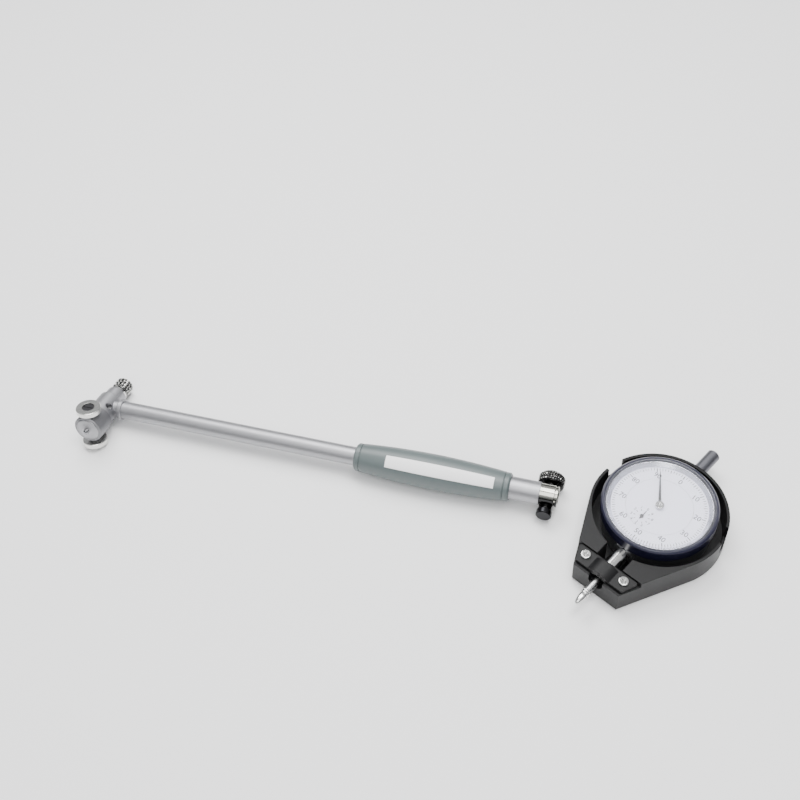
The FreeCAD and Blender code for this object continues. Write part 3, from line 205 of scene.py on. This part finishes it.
lampTarget = (-0.12, 0.0, 0.0)
lamps = [
    {"name": "keySoftbox", "spot": (-0.45, 0.45, 1.0), "size": 0.7, "watts": 12.0},
    {"name": "topSoftbox", "spot": (0.1, 0.1, 1.2), "size": 0.6, "watts": 12.0},
    {"name": "frontFill", "spot": (0.0, -0.65, 1.15), "size": 0.9, "watts": 8.0},
]
for lampLook in lamps:
    bpy.ops.object.light_add(type="AREA", location=lampLook["spot"])
    lamp = bpy.context.object
    lamp.name = lampLook["name"]
    lamp.data.shape = "DISK"
    lamp.data.size = lampLook["size"]
    lamp.data.energy = lampLook["watts"]
    aim = Vector(lampTarget) - Vector(lampLook["spot"])
    lamp.rotation_euler = aim.to_track_quat("-Z", "Y").to_euler()
print("camera, floor and light set")


# materials; sizes are in mm, and "edge" is how far the light rounds a sharp edge

edgeSamples = 6
mouldedFinish = {
    "ior": 1.54,
    "cloud": 16.7, "darkest": 0.80, "cloudShare": 0.7,  # soft patches of shade
    "smoother": 0.08, "rougher": 0.10,
    "grainHigh": 0.06, "edge": 0.5,
}


def mouldedAbs(name, colour, roughness, grain, strength, gloss):
    # ABS moulded in a spark-eroded tool: an even fine grain that breaks up the highlight
    material, tree, shader = newMaterial(
        name, {"Base Color": colour, "Roughness": roughness, "IOR": mouldedFinish["ior"],
               "Specular IOR Level": gloss})
    place = addNode(tree, "ShaderNodeTexCoord").outputs["Object"]
    grains = addNode(tree, "ShaderNodeTexNoise",
                     {"Scale": perMetre(grain), "Detail": 4.0, "Roughness": 0.6}, {"Vector": place})
    cloud = addNode(tree, "ShaderNodeTexNoise",
                    {"Scale": perMetre(mouldedFinish["cloud"]), "Detail": 2.0}, {"Vector": place})
    ramp = addNode(tree, "ShaderNodeValToRGB", links={"Fac": cloud.outputs["Fac"]},
                   bands=[(0.0, [mouldedFinish["darkest"]] * 3 + [1.0]), (1.0, [1.0] * 4)])
    shade = addNode(tree, "ShaderNodeMixRGB",
                    {"blend_type": "MULTIPLY", "Fac": mouldedFinish["cloudShare"], "Color1": linear(colour)},
                    {"Color2": ramp.outputs["Color"]})
    rough = addNode(tree, "ShaderNodeMapRange",
                    {"To Min": roughness - mouldedFinish["smoother"],
                     "To Max": roughness + mouldedFinish["rougher"]},
                    {"Value": grains.outputs["Fac"]})
    edge = addNode(tree, "ShaderNodeBevel", {"samples": edgeSamples, "Radius": mouldedFinish["edge"] * mm})
    bump = addNode(tree, "ShaderNodeBump",
                   {"Strength": strength, "Distance": mouldedFinish["grainHigh"] * mm},
                   {"Height": grains.outputs["Fac"], "Normal": edge.outputs["Normal"]})
    linkShader(tree, shader, {"Base Color": shade.outputs["Color"], "Roughness": rough.outputs["Result"],
                              "Normal": bump.outputs["Normal"]})
    return material


alongX, alongY, alongZ = 0, 1, 2  # the axis that a piece was turned about
turnedFinish = {
    "patch": 7.14,  # handling marks that change the gloss
    "patchShare": 0.12, "smoother": 0.7, "rougher": 1.35,
    "ringLong": 8.0, "ringHigh": 0.02, "edge": 0.2,
}


def turnedMetal(name, colour, roughness, axis, turn=(0, 0, 0), across=0.12, strength=0.12, tint=0.08):
    # metal turned or ground round: fine rings across the axis and a soft change of gloss;
    # real tool marks are 0.02 to 0.05 mm apart, and they are drawn coarser here so that they show
    material, tree, shader = newMaterial(
        name, {"Base Color": colour, "Metallic": 1.0, "Roughness": roughness})
    place = addNode(tree, "ShaderNodeTexCoord").outputs["Object"]
    size = [turnedFinish["ringLong"] * mm] * 3
    size[axis] = across * mm
    turned = addNode(tree, "ShaderNodeMapping", {"vector_type": "TEXTURE", "Rotation": turn, "Scale": size},
                     {"Vector": place})
    rings = addNode(tree, "ShaderNodeTexNoise", {"Scale": 1.0, "Detail": 3.0, "Roughness": 0.65},
                    {"Vector": turned.outputs["Vector"]})
    patches = addNode(tree, "ShaderNodeTexNoise",
                      {"Scale": perMetre(turnedFinish["patch"]), "Detail": 2.0}, {"Vector": place})
    rough = addNode(tree, "ShaderNodeMapRange",
                    {"To Min": roughness * turnedFinish["smoother"],
                     "To Max": roughness * turnedFinish["rougher"]},
                    {"Value": rings.outputs["Fac"]})
    share = turnedFinish["patchShare"]
    gloss = addNode(tree, "ShaderNodeMath", {"operation": "MULTIPLY_ADD", 1: share, 2: -share / 2},
                    {0: patches.outputs["Fac"]})
    total = addNode(tree, "ShaderNodeMath", {"operation": "ADD", "use_clamp": True},
                    {0: rough.outputs["Result"], 1: gloss.outputs["Value"]})
    base = linear(colour)
    ramp = addNode(tree, "ShaderNodeValToRGB", links={"Fac": rings.outputs["Fac"]},
                   bands=[(0.0, scaledBy(base, 1 - tint)), (1.0, scaledBy(base, 1 + tint))])
    edge = addNode(tree, "ShaderNodeBevel", {"samples": edgeSamples, "Radius": turnedFinish["edge"] * mm})
    bump = addNode(tree, "ShaderNodeBump",
                   {"Strength": strength, "Distance": turnedFinish["ringHigh"] * mm},
                   {"Height": rings.outputs["Fac"], "Normal": edge.outputs["Normal"]})
    linkShader(tree, shader, {"Base Color": ramp.outputs["Color"], "Roughness": total.outputs["Value"],
                              "Normal": bump.outputs["Normal"]})
    return material


paintedFinish = {
    "peel": 0.833, "peelHigh": 0.05, "peelStrength": 0.05,
    "fade": 22.2, "darker": 0.2, "lighter": 0.1,
    "coatRoughness": 0.12, "edge": 0.3,
}


def paintedMetal(name, colour, roughness, coat, speck=0.25):
    # sprayed enamel: smooth with a faint orange peel, and a tone that drifts a little
    material, tree, shader = newMaterial(
        name, {"Base Color": colour, "Roughness": roughness, "Coat Weight": coat,
               "Coat Roughness": paintedFinish["coatRoughness"]})
    place = addNode(tree, "ShaderNodeTexCoord").outputs["Object"]
    peel = addNode(tree, "ShaderNodeTexNoise",
                   {"Scale": perMetre(paintedFinish["peel"]), "Detail": 2.0}, {"Vector": place})
    fade = addNode(tree, "ShaderNodeTexNoise",
                   {"Scale": perMetre(paintedFinish["fade"]), "Detail": 3.0}, {"Vector": place})
    base = linear(colour)
    ramp = addNode(tree, "ShaderNodeValToRGB", links={"Fac": fade.outputs["Fac"]},
                   bands=[(0.0, scaledBy(base, 1 - speck * paintedFinish["darker"])),
                          (1.0, scaledBy(base, 1 + speck * paintedFinish["lighter"]))])
    edge = addNode(tree, "ShaderNodeBevel", {"samples": edgeSamples, "Radius": paintedFinish["edge"] * mm})
    bump = addNode(tree, "ShaderNodeBump",
                   {"Strength": paintedFinish["peelStrength"], "Distance": paintedFinish["peelHigh"] * mm},
                   {"Height": peel.outputs["Fac"], "Normal": edge.outputs["Normal"]})
    linkShader(tree, shader, {"Base Color": ramp.outputs["Color"], "Normal": bump.outputs["Normal"]})
    return material


knurlFinish = {
    # from one pyramid's height below the rim to one above it; the groove bands are painted shade and the
    # crest band is a painted highlight
    "bands": [(0.34, "body"), (0.40, "grooveShade"), (0.55, "grooveShade"), (0.76, "crestHighlight")],
    "grain": 1.11,
    "smoother": 0.8, "rougher": 1.3,
}


def knurledMetal(name, look, seat):
    # rolled knurl: painted shade in the grooves and a painted highlight on the crests, set by the distance
    # from the axis
    tones = look["tones"]
    roughness = look["roughness"]
    material, tree, shader = newMaterial(
        name, {"Base Color": tones["body"], "Metallic": 1.0, "Roughness": roughness})
    place = addNode(tree, "ShaderNodeTexCoord").outputs["Object"]
    spot, turn, _ = seat.decompose()
    local = addNode(tree, "ShaderNodeMapping",
                    {"vector_type": "TEXTURE", "Location": spot, "Rotation": turn.to_euler()},
                    {"Vector": place})
    flat = addNode(tree, "ShaderNodeVectorMath", {"operation": "MULTIPLY", 1: (1, 1, 0)},
                   {0: local.outputs["Vector"]})
    reach = addNode(tree, "ShaderNodeVectorMath", {"operation": "LENGTH"}, {0: flat.outputs["Vector"]})
    crestHighlight = addNode(tree, "ShaderNodeMapRange",
                    {"From Min": (look["rim"] - look["raise"]) * mm,
                     "From Max": (look["rim"] + look["raise"]) * mm},
                    {"Value": reach.outputs["Value"]})
    shade = addNode(tree, "ShaderNodeValToRGB", links={"Fac": crestHighlight.outputs["Result"]},
                    bands=[(band, linear(tones[tone])) for band, tone in knurlFinish["bands"]])
    # the neck under the knurl gets the painted groove shade too
    height = addNode(tree, "ShaderNodeSeparateXYZ", links={"Vector": local.outputs["Vector"]})
    neck = addNode(tree, "ShaderNodeMath", {"operation": "LESS_THAN", 1: look["neck"] * mm},
                   {0: height.outputs["Z"]})
    whole = addNode(tree, "ShaderNodeMixRGB", {"Color2": linear(tones["grooveShade"])},
                    {"Fac": neck.outputs["Value"], "Color1": shade.outputs["Color"]})
    grain = addNode(tree, "ShaderNodeTexNoise",
                    {"Scale": perMetre(knurlFinish["grain"]), "Detail": 2.0}, {"Vector": place})
    rough = addNode(tree, "ShaderNodeMapRange",
                    {"To Min": roughness * knurlFinish["smoother"],
                     "To Max": roughness * knurlFinish["rougher"]},
                    {"Value": grain.outputs["Fac"]})
    linkShader(tree, shader, {"Base Color": whole.outputs["Color"], "Roughness": rough.outputs["Result"]})
    return material


acrylicFinish = {
    "colour": "#f4f5fa", "roughness": 0.06, "ior": 1.49,
    "blend": 0.25, "straightOn": 0.05, "atSlant": 0.45,  # how much of the cover is seen
}


def clearAcrylic(name):
    # cast acrylic dial cover: nearly all see-through, brighter only where it is seen at a slant
    material, tree, shader = newMaterial(
        name, {"Base Color": acrylicFinish["colour"], "Roughness": acrylicFinish["roughness"],
               "IOR": acrylicFinish["ior"]})
    slant = addNode(tree, "ShaderNodeLayerWeight", {"Blend": acrylicFinish["blend"]})
    seen = addNode(tree, "ShaderNodeMapRange",
                   {"To Min": acrylicFinish["straightOn"], "To Max": acrylicFinish["atSlant"]},
                   {"Value": slant.outputs["Fresnel"]})
    linkShader(tree, shader, {"Alpha": seen.outputs["Result"]})
    return material


onIndicator = (0, 0, indicatorTurn)
looks = {
    # black ABS from a grained tool: deep black with a soft sheen
    "black_moulding": mouldedAbs("mouldedAbsBlack", "#111112", 0.40, grain=0.22, strength=0.25, gloss=0.22),
    # hardened steel, ground and then polished: sharp bright reflections
    "polished_steel": turnedMetal("polishedSteel", "#d8d8d6", 0.12, alongY, onIndicator, strength=0.05),
    # steel ground round: bright, with fine lines around it
    "ground_steel": turnedMetal("groundSteel", "#bfbfbf", 0.26, alongY, onIndicator),
    # hard-drawn wire: smooth mid grey
    "spring_steel": turnedMetal("springWire", "#8b8b8d", 0.30, alongX),
    # clock brass, turned: warm yellow with fine rings
    "brass": turnedMetal("clockBrass", "#b8954f", 0.28, alongZ),
    # enamel sprayed on a turned rim: near black with a navy cast
    "dark_bezel": paintedMetal("navyBlackEnamel", "#19192e", 0.32, coat=0.25),
    # die-cast aluminium, tumbled: dull light grey
    "case_metal": turnedMetal("dieCastAluminium", "#8f9194", 0.42, alongZ, onIndicator),
    # white enamel sprayed flat: cool white with no shine
    "dial_enamel": paintedMetal("whiteDialEnamel", "#f0f0ff", 0.42, coat=0.0),
    # aluminium ring turned with a sharp tool: fine bright rings
    "silver_ring": turnedMetal("brightTurnedRing", "#dcdde6", 0.20, alongZ, across=0.2),
    "clear_cover": clearAcrylic("castAcrylic"),
    # black paint on a stamped hand: even black
    "black_hand": paintedMetal("blackHandPaint", "#141416", 0.35, coat=0.1),
    # chrome over a blasted surface: one broad pale highlight
    "satin_chrome": turnedMetal("satinChrome", "#a5a5a8", 0.46, alongX, across=0.15, strength=0.10),
    # black chrome on turned steel: dark with a clear reflection
    "dark_chrome": turnedMetal("darkChrome", "#2a2a2c", 0.24, alongY),
    # moulded grip with a grey-green finish: smooth, with a wide soft highlight
    "grip_plastic": mouldedAbs("gripEnamelGrey", "#5b6565", 0.38, grain=0.35, strength=0.10, gloss=0.5),
    # white vinyl: even and matt
    "strip_white": paintedMetal("whiteVinylStrip", "#ffffff", 0.5, coat=0.0, speck=0.05),
    # cemented carbide, ground: darker and glossier than steel
    "carbide": turnedMetal("groundCarbide", "#8e8f92", 0.18, alongY),
}
for node in nodes.values():
    for socket in node.material_slots:
        slotName = socket.material.name.split(".")[0] if socket.material else ""
        if slotName in looks:
            socket.material = looks[slotName]

# polished chrome: a mirror with a warm cast; the boss across the collar is painted dark grey, a painted
# shade and painted dark reflection on the chrome
collarLook = {"bossFrom": 4.9, "boss": "#343434"}  # mm from the middle
polishedCollar = turnedMetal("brightChrome", "#b4b3ab", 0.12, alongX, strength=0.03)
collarTree = polishedCollar.node_tree
collarShader = collarTree.nodes["Principled BSDF"]
collarPlace = addNode(collarTree, "ShaderNodeTexCoord")
collarParts = addNode(collarTree, "ShaderNodeSeparateXYZ", links={"Vector": collarPlace.outputs["Object"]})
collarSide = addNode(collarTree, "ShaderNodeMath", {"operation": "ABSOLUTE"}, {0: collarParts.outputs["Y"]})
# where the painted shade goes: the boss, beyond bossFrom from the middle
collarShadeMask = addNode(collarTree, "ShaderNodeMath",
                     {"operation": "GREATER_THAN", 1: collarLook["bossFrom"] * mm},
                     {0: collarSide.outputs["Value"]})
collarBright = collarShader.inputs["Base Color"].links[0].from_socket
collarShade = addNode(collarTree, "ShaderNodeMixRGB", {"Color2": linear(collarLook["boss"])},
                      {"Fac": collarShadeMask.outputs["Value"], "Color1": collarBright})
linkShader(collarTree, collarShader, {"Base Color": collarShade.outputs["Color"]})

# steel lapped flat on both faces: a pale, even shine
rollerSteel = turnedMetal("lappedRollerSteel", "#dadad6", 0.22, alongZ)
ownLooks = {
    "clamp_collar": polishedCollar,
    "upper_roller": rollerSteel,
    "lower_roller": rollerSteel,
    # screw with its black oxide worn to grey
    "roller_screws": turnedMetal("blackenedScrew", "#5a5a5c", 0.30, alongZ),
    # steel cap: grey steel, its tone darkened further as painted shade
    "spindle_cap": turnedMetal("shadedCapSteel", "#6c6c71", 0.40, alongY, onIndicator),
    # drawn steel pin: grey, half bright
    "crank_pin": turnedMetal("pinSteel", "#6a6a6b", 0.28, alongZ),
    # chrome over a coarser blasted surface: a tone darker than the head behind it
    "centring_bridge": turnedMetal("blastedChrome", "#8b8b8e", 0.50, alongY, across=0.3, tint=0.12),
}
for name, look in ownLooks.items():
    for socket in nodes[name].material_slots:
        socket.material = look
print("materials set:", len(looks), "by slot and", len(ownLooks), "by piece")

# printed dial: divisions, numbers and the small counter, in mm

dialPrint = {
    "zeroAt": 92.0,  # degrees from the indicator's +X
    "face": 19.215,  # just on the enamel
    "divisions": 100,
    "numbers": 10,
    "tickOuter": 23.4,
    "minor": (0.26, 1.35),  # width and length
    "half": (0.30, 1.8),
    "major": (0.38, 2.2),
    "numberAt": 18.85,
    "numberHigh": 2.8,
    "tickHigh": 0.02,
    "textDeep": 0.008,
    "textCurve": 3,  # steps in each curve of a number
    "capShare": 0.7,  # a number's height as a share of the font's size
}
counterPrint = {
    "centre": (-3.2, -10.46),
    "zeroAt": 90,
    "tickOuter": 4.2,
    "tick": (0.26, 1.0),
    "numbers": 10,
    "numberAt": 5.3,
    "numberHigh": 1.5,
}
# pad-printed ink: flat blue-black
inkBlack = paintedMetal("dialInkBlack", "#1b1b20", 0.6, coat=0.0)


def flatBar(width, length, outer, high, tip=1.0):
    # a thin bar along +Y that ends at outer; tip narrows the outer end
    nothingSelected()
    bpy.ops.mesh.primitive_plane_add(size=1)
    bar = bpy.context.object
    middle = outer - length / 2
    settle(bar, moved(0, middle, 0) @ Matrix.Diagonal((width * mm, length * mm, 1, 1)))
    for vertex in bar.data.vertices:
        vertex.select = vertex.co.y > middle * mm
    for group in (bar.data.edges, bar.data.polygons):
        for part in group:
            part.select = False
    bpy.ops.object.mode_set(mode="EDIT")
    bpy.ops.mesh.select_mode(type="VERT")
    bpy.ops.transform.resize(value=(tip, 1, 1), center_override=(0, outer * mm, 0))
    bpy.ops.mesh.select_all(action="SELECT")
    bpy.ops.mesh.extrude_region_move(TRANSFORM_OT_translate={"value": (0, 0, high * mm)})
    bpy.ops.mesh.select_all(action="SELECT")
    bpy.ops.mesh.normals_make_consistent(inside=False)
    bpy.ops.object.mode_set(mode="OBJECT")
    return bar


def ringOfTicks(tick, angles, base):
    # a copy of one division at each angle
    made = [copyPiece(tick, base @ Matrix.Rotation(math.radians(angle - 90), 4, "Z")) for angle in angles]
    bpy.data.objects.remove(tick)
    return made


def printedText(words, high, place):
    nothingSelected()
    bpy.ops.object.text_add()
    text = bpy.context.object
    text.data.body = words
    text.data.size = high * mm / dialPrint["capShare"]
    text.data.align_x = "CENTER"
    text.data.align_y = "CENTER"
    text.data.extrude = dialPrint["textDeep"] * mm
    text.data.resolution_u = dialPrint["textCurve"]
    onlySelected(text)
    bpy.ops.object.convert(target="MESH")
    return settle(bpy.context.object, place)


def onCircle(radius, angle):
    # a shift from the middle to a point on a circle, mm and degrees
    return moved(math.cos(math.radians(angle)) * radius, math.sin(math.radians(angle)) * radius, 0)


dialBase = indicatorPlace @ moved(0, 0, dialPrint["face"])
zero = dialPrint["zeroAt"]
divisionTurn = 360 / dialPrint["divisions"]
numberTurn = 360 / dialPrint["numbers"]
perNumber = dialPrint["divisions"] // dialPrint["numbers"]
halfWay = perNumber // 2
everyDivision = range(dialPrint["divisions"])
tickSets = {
    "minor": [i for i in everyDivision if i % halfWay],
    "half": [i for i in everyDivision if i % perNumber == halfWay],
    "major": [i for i in everyDivision if i % perNumber == 0],
}
marks = []
for kind, steps in tickSets.items():
    tick = flatBar(*dialPrint[kind], dialPrint["tickOuter"], dialPrint["tickHigh"])
    marks += ringOfTicks(tick, [zero - divisionTurn * i for i in steps], dialBase)
finishPiece(joinPieces(marks), "dial_divisions", inkBlack, "bezel_group")

upright = Matrix.Rotation(math.radians(zero - 90), 4, "Z")
numbers = []
for i in range(dialPrint["numbers"]):
    numberPlace = dialBase @ onCircle(dialPrint["numberAt"], zero - numberTurn * i) @ upright
    numbers.append(printedText(str(i * perNumber), dialPrint["numberHigh"], numberPlace))
finishPiece(joinPieces(numbers), "dial_numbers", inkBlack, "bezel_group")

counterBase = dialBase @ moved(*counterPrint["centre"], 0)
counterTurn = 360 / counterPrint["numbers"]
counterAngles = [counterPrint["zeroAt"] + counterTurn * i for i in range(counterPrint["numbers"])]
counterTick = flatBar(*counterPrint["tick"], counterPrint["tickOuter"], dialPrint["tickHigh"])
counterMarks = ringOfTicks(counterTick, counterAngles, counterBase)
for i, angle in enumerate(counterAngles):
    numberPlace = counterBase @ onCircle(counterPrint["numberAt"], angle)
    counterMarks.append(printedText(str(i), counterPrint["numberHigh"], numberPlace))
finishPiece(joinPieces(counterMarks), "counter_print", inkBlack, "base")
print("dial printed")

# turned pieces: a ring carried along a profile, with a knurl of small pyramids where "rim" asks for one

turning = {"weld": 0.002, "rimGap": 0.01, "smoothUnder": 30}  # mm, mm, degrees


def carryRing(look):
    # takes the selected ring along the profile of (radius, height), and divides the rim into rows
    points = look["profile"]
    stops = points[1:] + (points[:1] if look["hollow"] else [])
    lean = math.pi / look["around"]
    for (r0, z0), (r1, z1) in zip(points, stops):
        steps = look["rows"] if r0 == r1 == look.get("rim") else 1
        for k in range(steps):
            grow = (r0 + (r1 - r0) * (k + 1) / steps) / (r0 + (r1 - r0) * k / steps)
            lift = (z1 - z0) / steps * mm
            bpy.ops.mesh.extrude_region_move(TRANSFORM_OT_translate={"value": (0, 0, lift)})
            bpy.ops.transform.resize(value=(grow, grow, 1), center_override=(0, 0, 0))
            if k < steps - 1:
                # every second row is half a step round
                bpy.ops.transform.rotate(value=lean if k % 2 else -lean, orient_axis="Z",
                                         center_override=(0, 0, 0))


def raisePyramids(piece, look):
    for face in piece.data.polygons:
        corners = [piece.data.vertices[i].co for i in face.vertices]
        face.select = len(corners) == 4 and all(
            abs(math.hypot(c.x, c.y) / mm - look["rim"]) < turning["rimGap"] for c in corners)
    bpy.ops.object.mode_set(mode="EDIT")
    bpy.ops.mesh.select_mode(type="FACE")
    bpy.ops.mesh.poke(offset=look["raise"] * mm)
    bpy.ops.mesh.faces_shade_flat()
    bpy.ops.object.mode_set(mode="OBJECT")


def turnedShape(look):
    startRadius, startHeight = look["profile"][0]
    nothingSelected()
    bpy.ops.mesh.primitive_circle_add(vertices=look["around"], radius=startRadius * mm,
                                      location=(0, 0, startHeight * mm), fill_type="NOTHING")
    piece = bpy.context.object
    bpy.ops.object.transform_apply(location=True)
    onlySelected(piece)
    bpy.ops.object.mode_set(mode="EDIT")
    bpy.ops.mesh.select_mode(type="VERT")
    bpy.ops.mesh.select_all(action="SELECT")
    carryRing(look)
    bpy.ops.mesh.select_all(action="SELECT")
    bpy.ops.mesh.remove_doubles(threshold=turning["weld"] * mm)
    bpy.ops.mesh.fill_holes(sides=0)
    bpy.ops.mesh.select_all(action="SELECT")
    bpy.ops.mesh.normals_make_consistent(inside=False)
    bpy.ops.mesh.select_all(action="DESELECT")
    bpy.ops.object.mode_set(mode="OBJECT")
    bpy.ops.object.shade_smooth_by_angle(angle=math.radians(turning["smoothUnder"]))
    if "rim" in look:
        raisePyramids(piece, look)
    return piece


# the holder as it lies: the head's centre, the turn, the rise of the tube and the roll of the head
holder = {
    "centre": (-309.7, 4.7, 9.8248), "turn": -1.05, "rise": 0.2652, "roll": 13.2706,  # mm and degrees
    "cotter": (253.9, 0, -4.2),
}
clampFrame = (moved(*holder["centre"]) @ Matrix.Rotation(math.radians(holder["turn"]), 4, "Z")
              @ Matrix.Rotation(math.radians(-holder["rise"]), 4, "Y"))
headFrame = clampFrame @ Matrix.Rotation(math.radians(-holder["roll"]), 4, "X")

# a real knurl is about 0.8 mm from crest to crest, drawn about 1.4 to 1.9 mm here so that it shows
thumbLook = {
    "around": 30, "rows": 4, "rim": 6.6, "raise": 0.5, "neck": 8.6, "hollow": True,
    "profile": [(1.55, 6.1), (3.0, 6.1), (3.5, 7.0), (3.7, 8.4), (5.8, 8.4), (6.6, 9.0), (6.6, 14.1),
                (6.2, 14.5), (4.8, 14.5), (4.4, 14.2), (1.55, 14.2)],
    # the groove tone is painted shade and the crest tone a painted highlight
    "tones": {"body": "#2c2c2d", "grooveShade": "#161616", "crestHighlight": "#8c8c8a"},
    "roughness": 0.24,
}
thumbFrame = clampFrame @ moved(*holder["cotter"]) @ ontoY
thumb = settle(turnedShape(thumbLook), thumbFrame)
thumbKnurl = knurledMetal("darkKnurledSteel", thumbLook, thumbFrame)
finishPiece(thumb, "thumb_nut_knurled", thumbKnurl, "thumb_group")
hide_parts("thumb_nut")

lockLook = {
    "around": 16, "rows": 5, "rim": 4.8, "raise": 0.55, "neck": 14.2, "hollow": True,
    "profile": [(3.45, 12.6), (4.3, 12.6), (4.3, 14.2), (4.6, 14.3), (4.8, 14.6), (4.8, 21.3), (4.4, 21.6),
                (3.1, 21.6), (2.8, 21.3), (2.8, 20.2), (3.45, 20.2)],
    # the groove tone is painted shade and the crest tone a painted highlight
    "tones": {"body": "#b4b4b2", "grooveShade": "#161616", "crestHighlight": "#f0f0ec"},
    "roughness": 0.22,
}
lockFrame = headFrame @ ontoY
lock = settle(turnedShape(lockLook), lockFrame)
lockKnurl = knurledMetal("brightKnurledSteel", lockLook, lockFrame)
finishPiece(lock, "lock_nut_knurled", lockKnurl, "nut_group")
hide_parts("anvil_lock_nut")

contactLook = {
    "seat": (0, -57.5, 11.0),
    "around": 20, "rows": 2, "rim": 2.35, "raise": 0.12, "hollow": False,
    "profile": [(1.1, -3.2), (1.1, 0.02), (2.35, 0.02), (2.35, 2.4), (2.05, 2.8), (2.2, 3.3), (2.05, 4.8),
                (1.7, 6.4), (1.3, 7.7), (1.0, 8.4), (0.55, 8.8), (0.15, 8.9)],
}
contact = settle(turnedShape(contactLook), indicatorPlace @ moved(*contactLook["seat"]) @ ontoMinusY)
finishPiece(contact, "contact_point_turned", looks["polished_steel"], "spindle_group")
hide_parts("contact_point")
print("nuts and contact turned")

# the pointers' hubs and the blade of the main one

hubLook = {
    "around": 40, "hollow": False,
    "profile": [(0.7, 20.1), (2.0, 20.1), (2.0, 20.55), (2.25, 20.6), (2.25, 20.95), (2.1, 21.08),
                (0.8, 21.08), (0.65, 20.94), (0.55, 20.94), (0.45, 21.12), (0.1, 21.16)],
}
hub = settle(turnedShape(hubLook), indicatorPlace)
finishPiece(hub, "pointer_hub_cap", looks["polished_steel"], "pointer_group")

bladeLook = {
    "width": 1.5, "from": 1.0, "reach": 20.8, "high": 0.25, "bottom": 20.15,  # mm
    "tip": 0.2,  # share of the width
    "turn": 34.3,  # degrees from the indicator's +Y
}
blade = flatBar(bladeLook["width"], bladeLook["reach"] - bladeLook["from"], bladeLook["reach"],
                bladeLook["high"], bladeLook["tip"])
settle(blade, indicatorPlace @ moved(0, 0, bladeLook["bottom"])
       @ Matrix.Rotation(math.radians(bladeLook["turn"]), 4, "Z"))
finishPiece(blade, "pointer_blade", looks["black_hand"], "pointer_group")
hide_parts("main_pointer")

counterHubLook = {
    "around": 24, "hollow": False,
    "profile": [(0.9, 19.85), (0.95, 19.88), (0.95, 19.97), (0.8, 20.03), (0.1, 20.04)],
}
counterHub = settle(turnedShape(counterHubLook), indicatorPlace @ moved(*counterPrint["centre"], 0))
finishPiece(counterHub, "counter_hub_cap", looks["black_hand"], "counter_group")
print("hub caps and blade set")
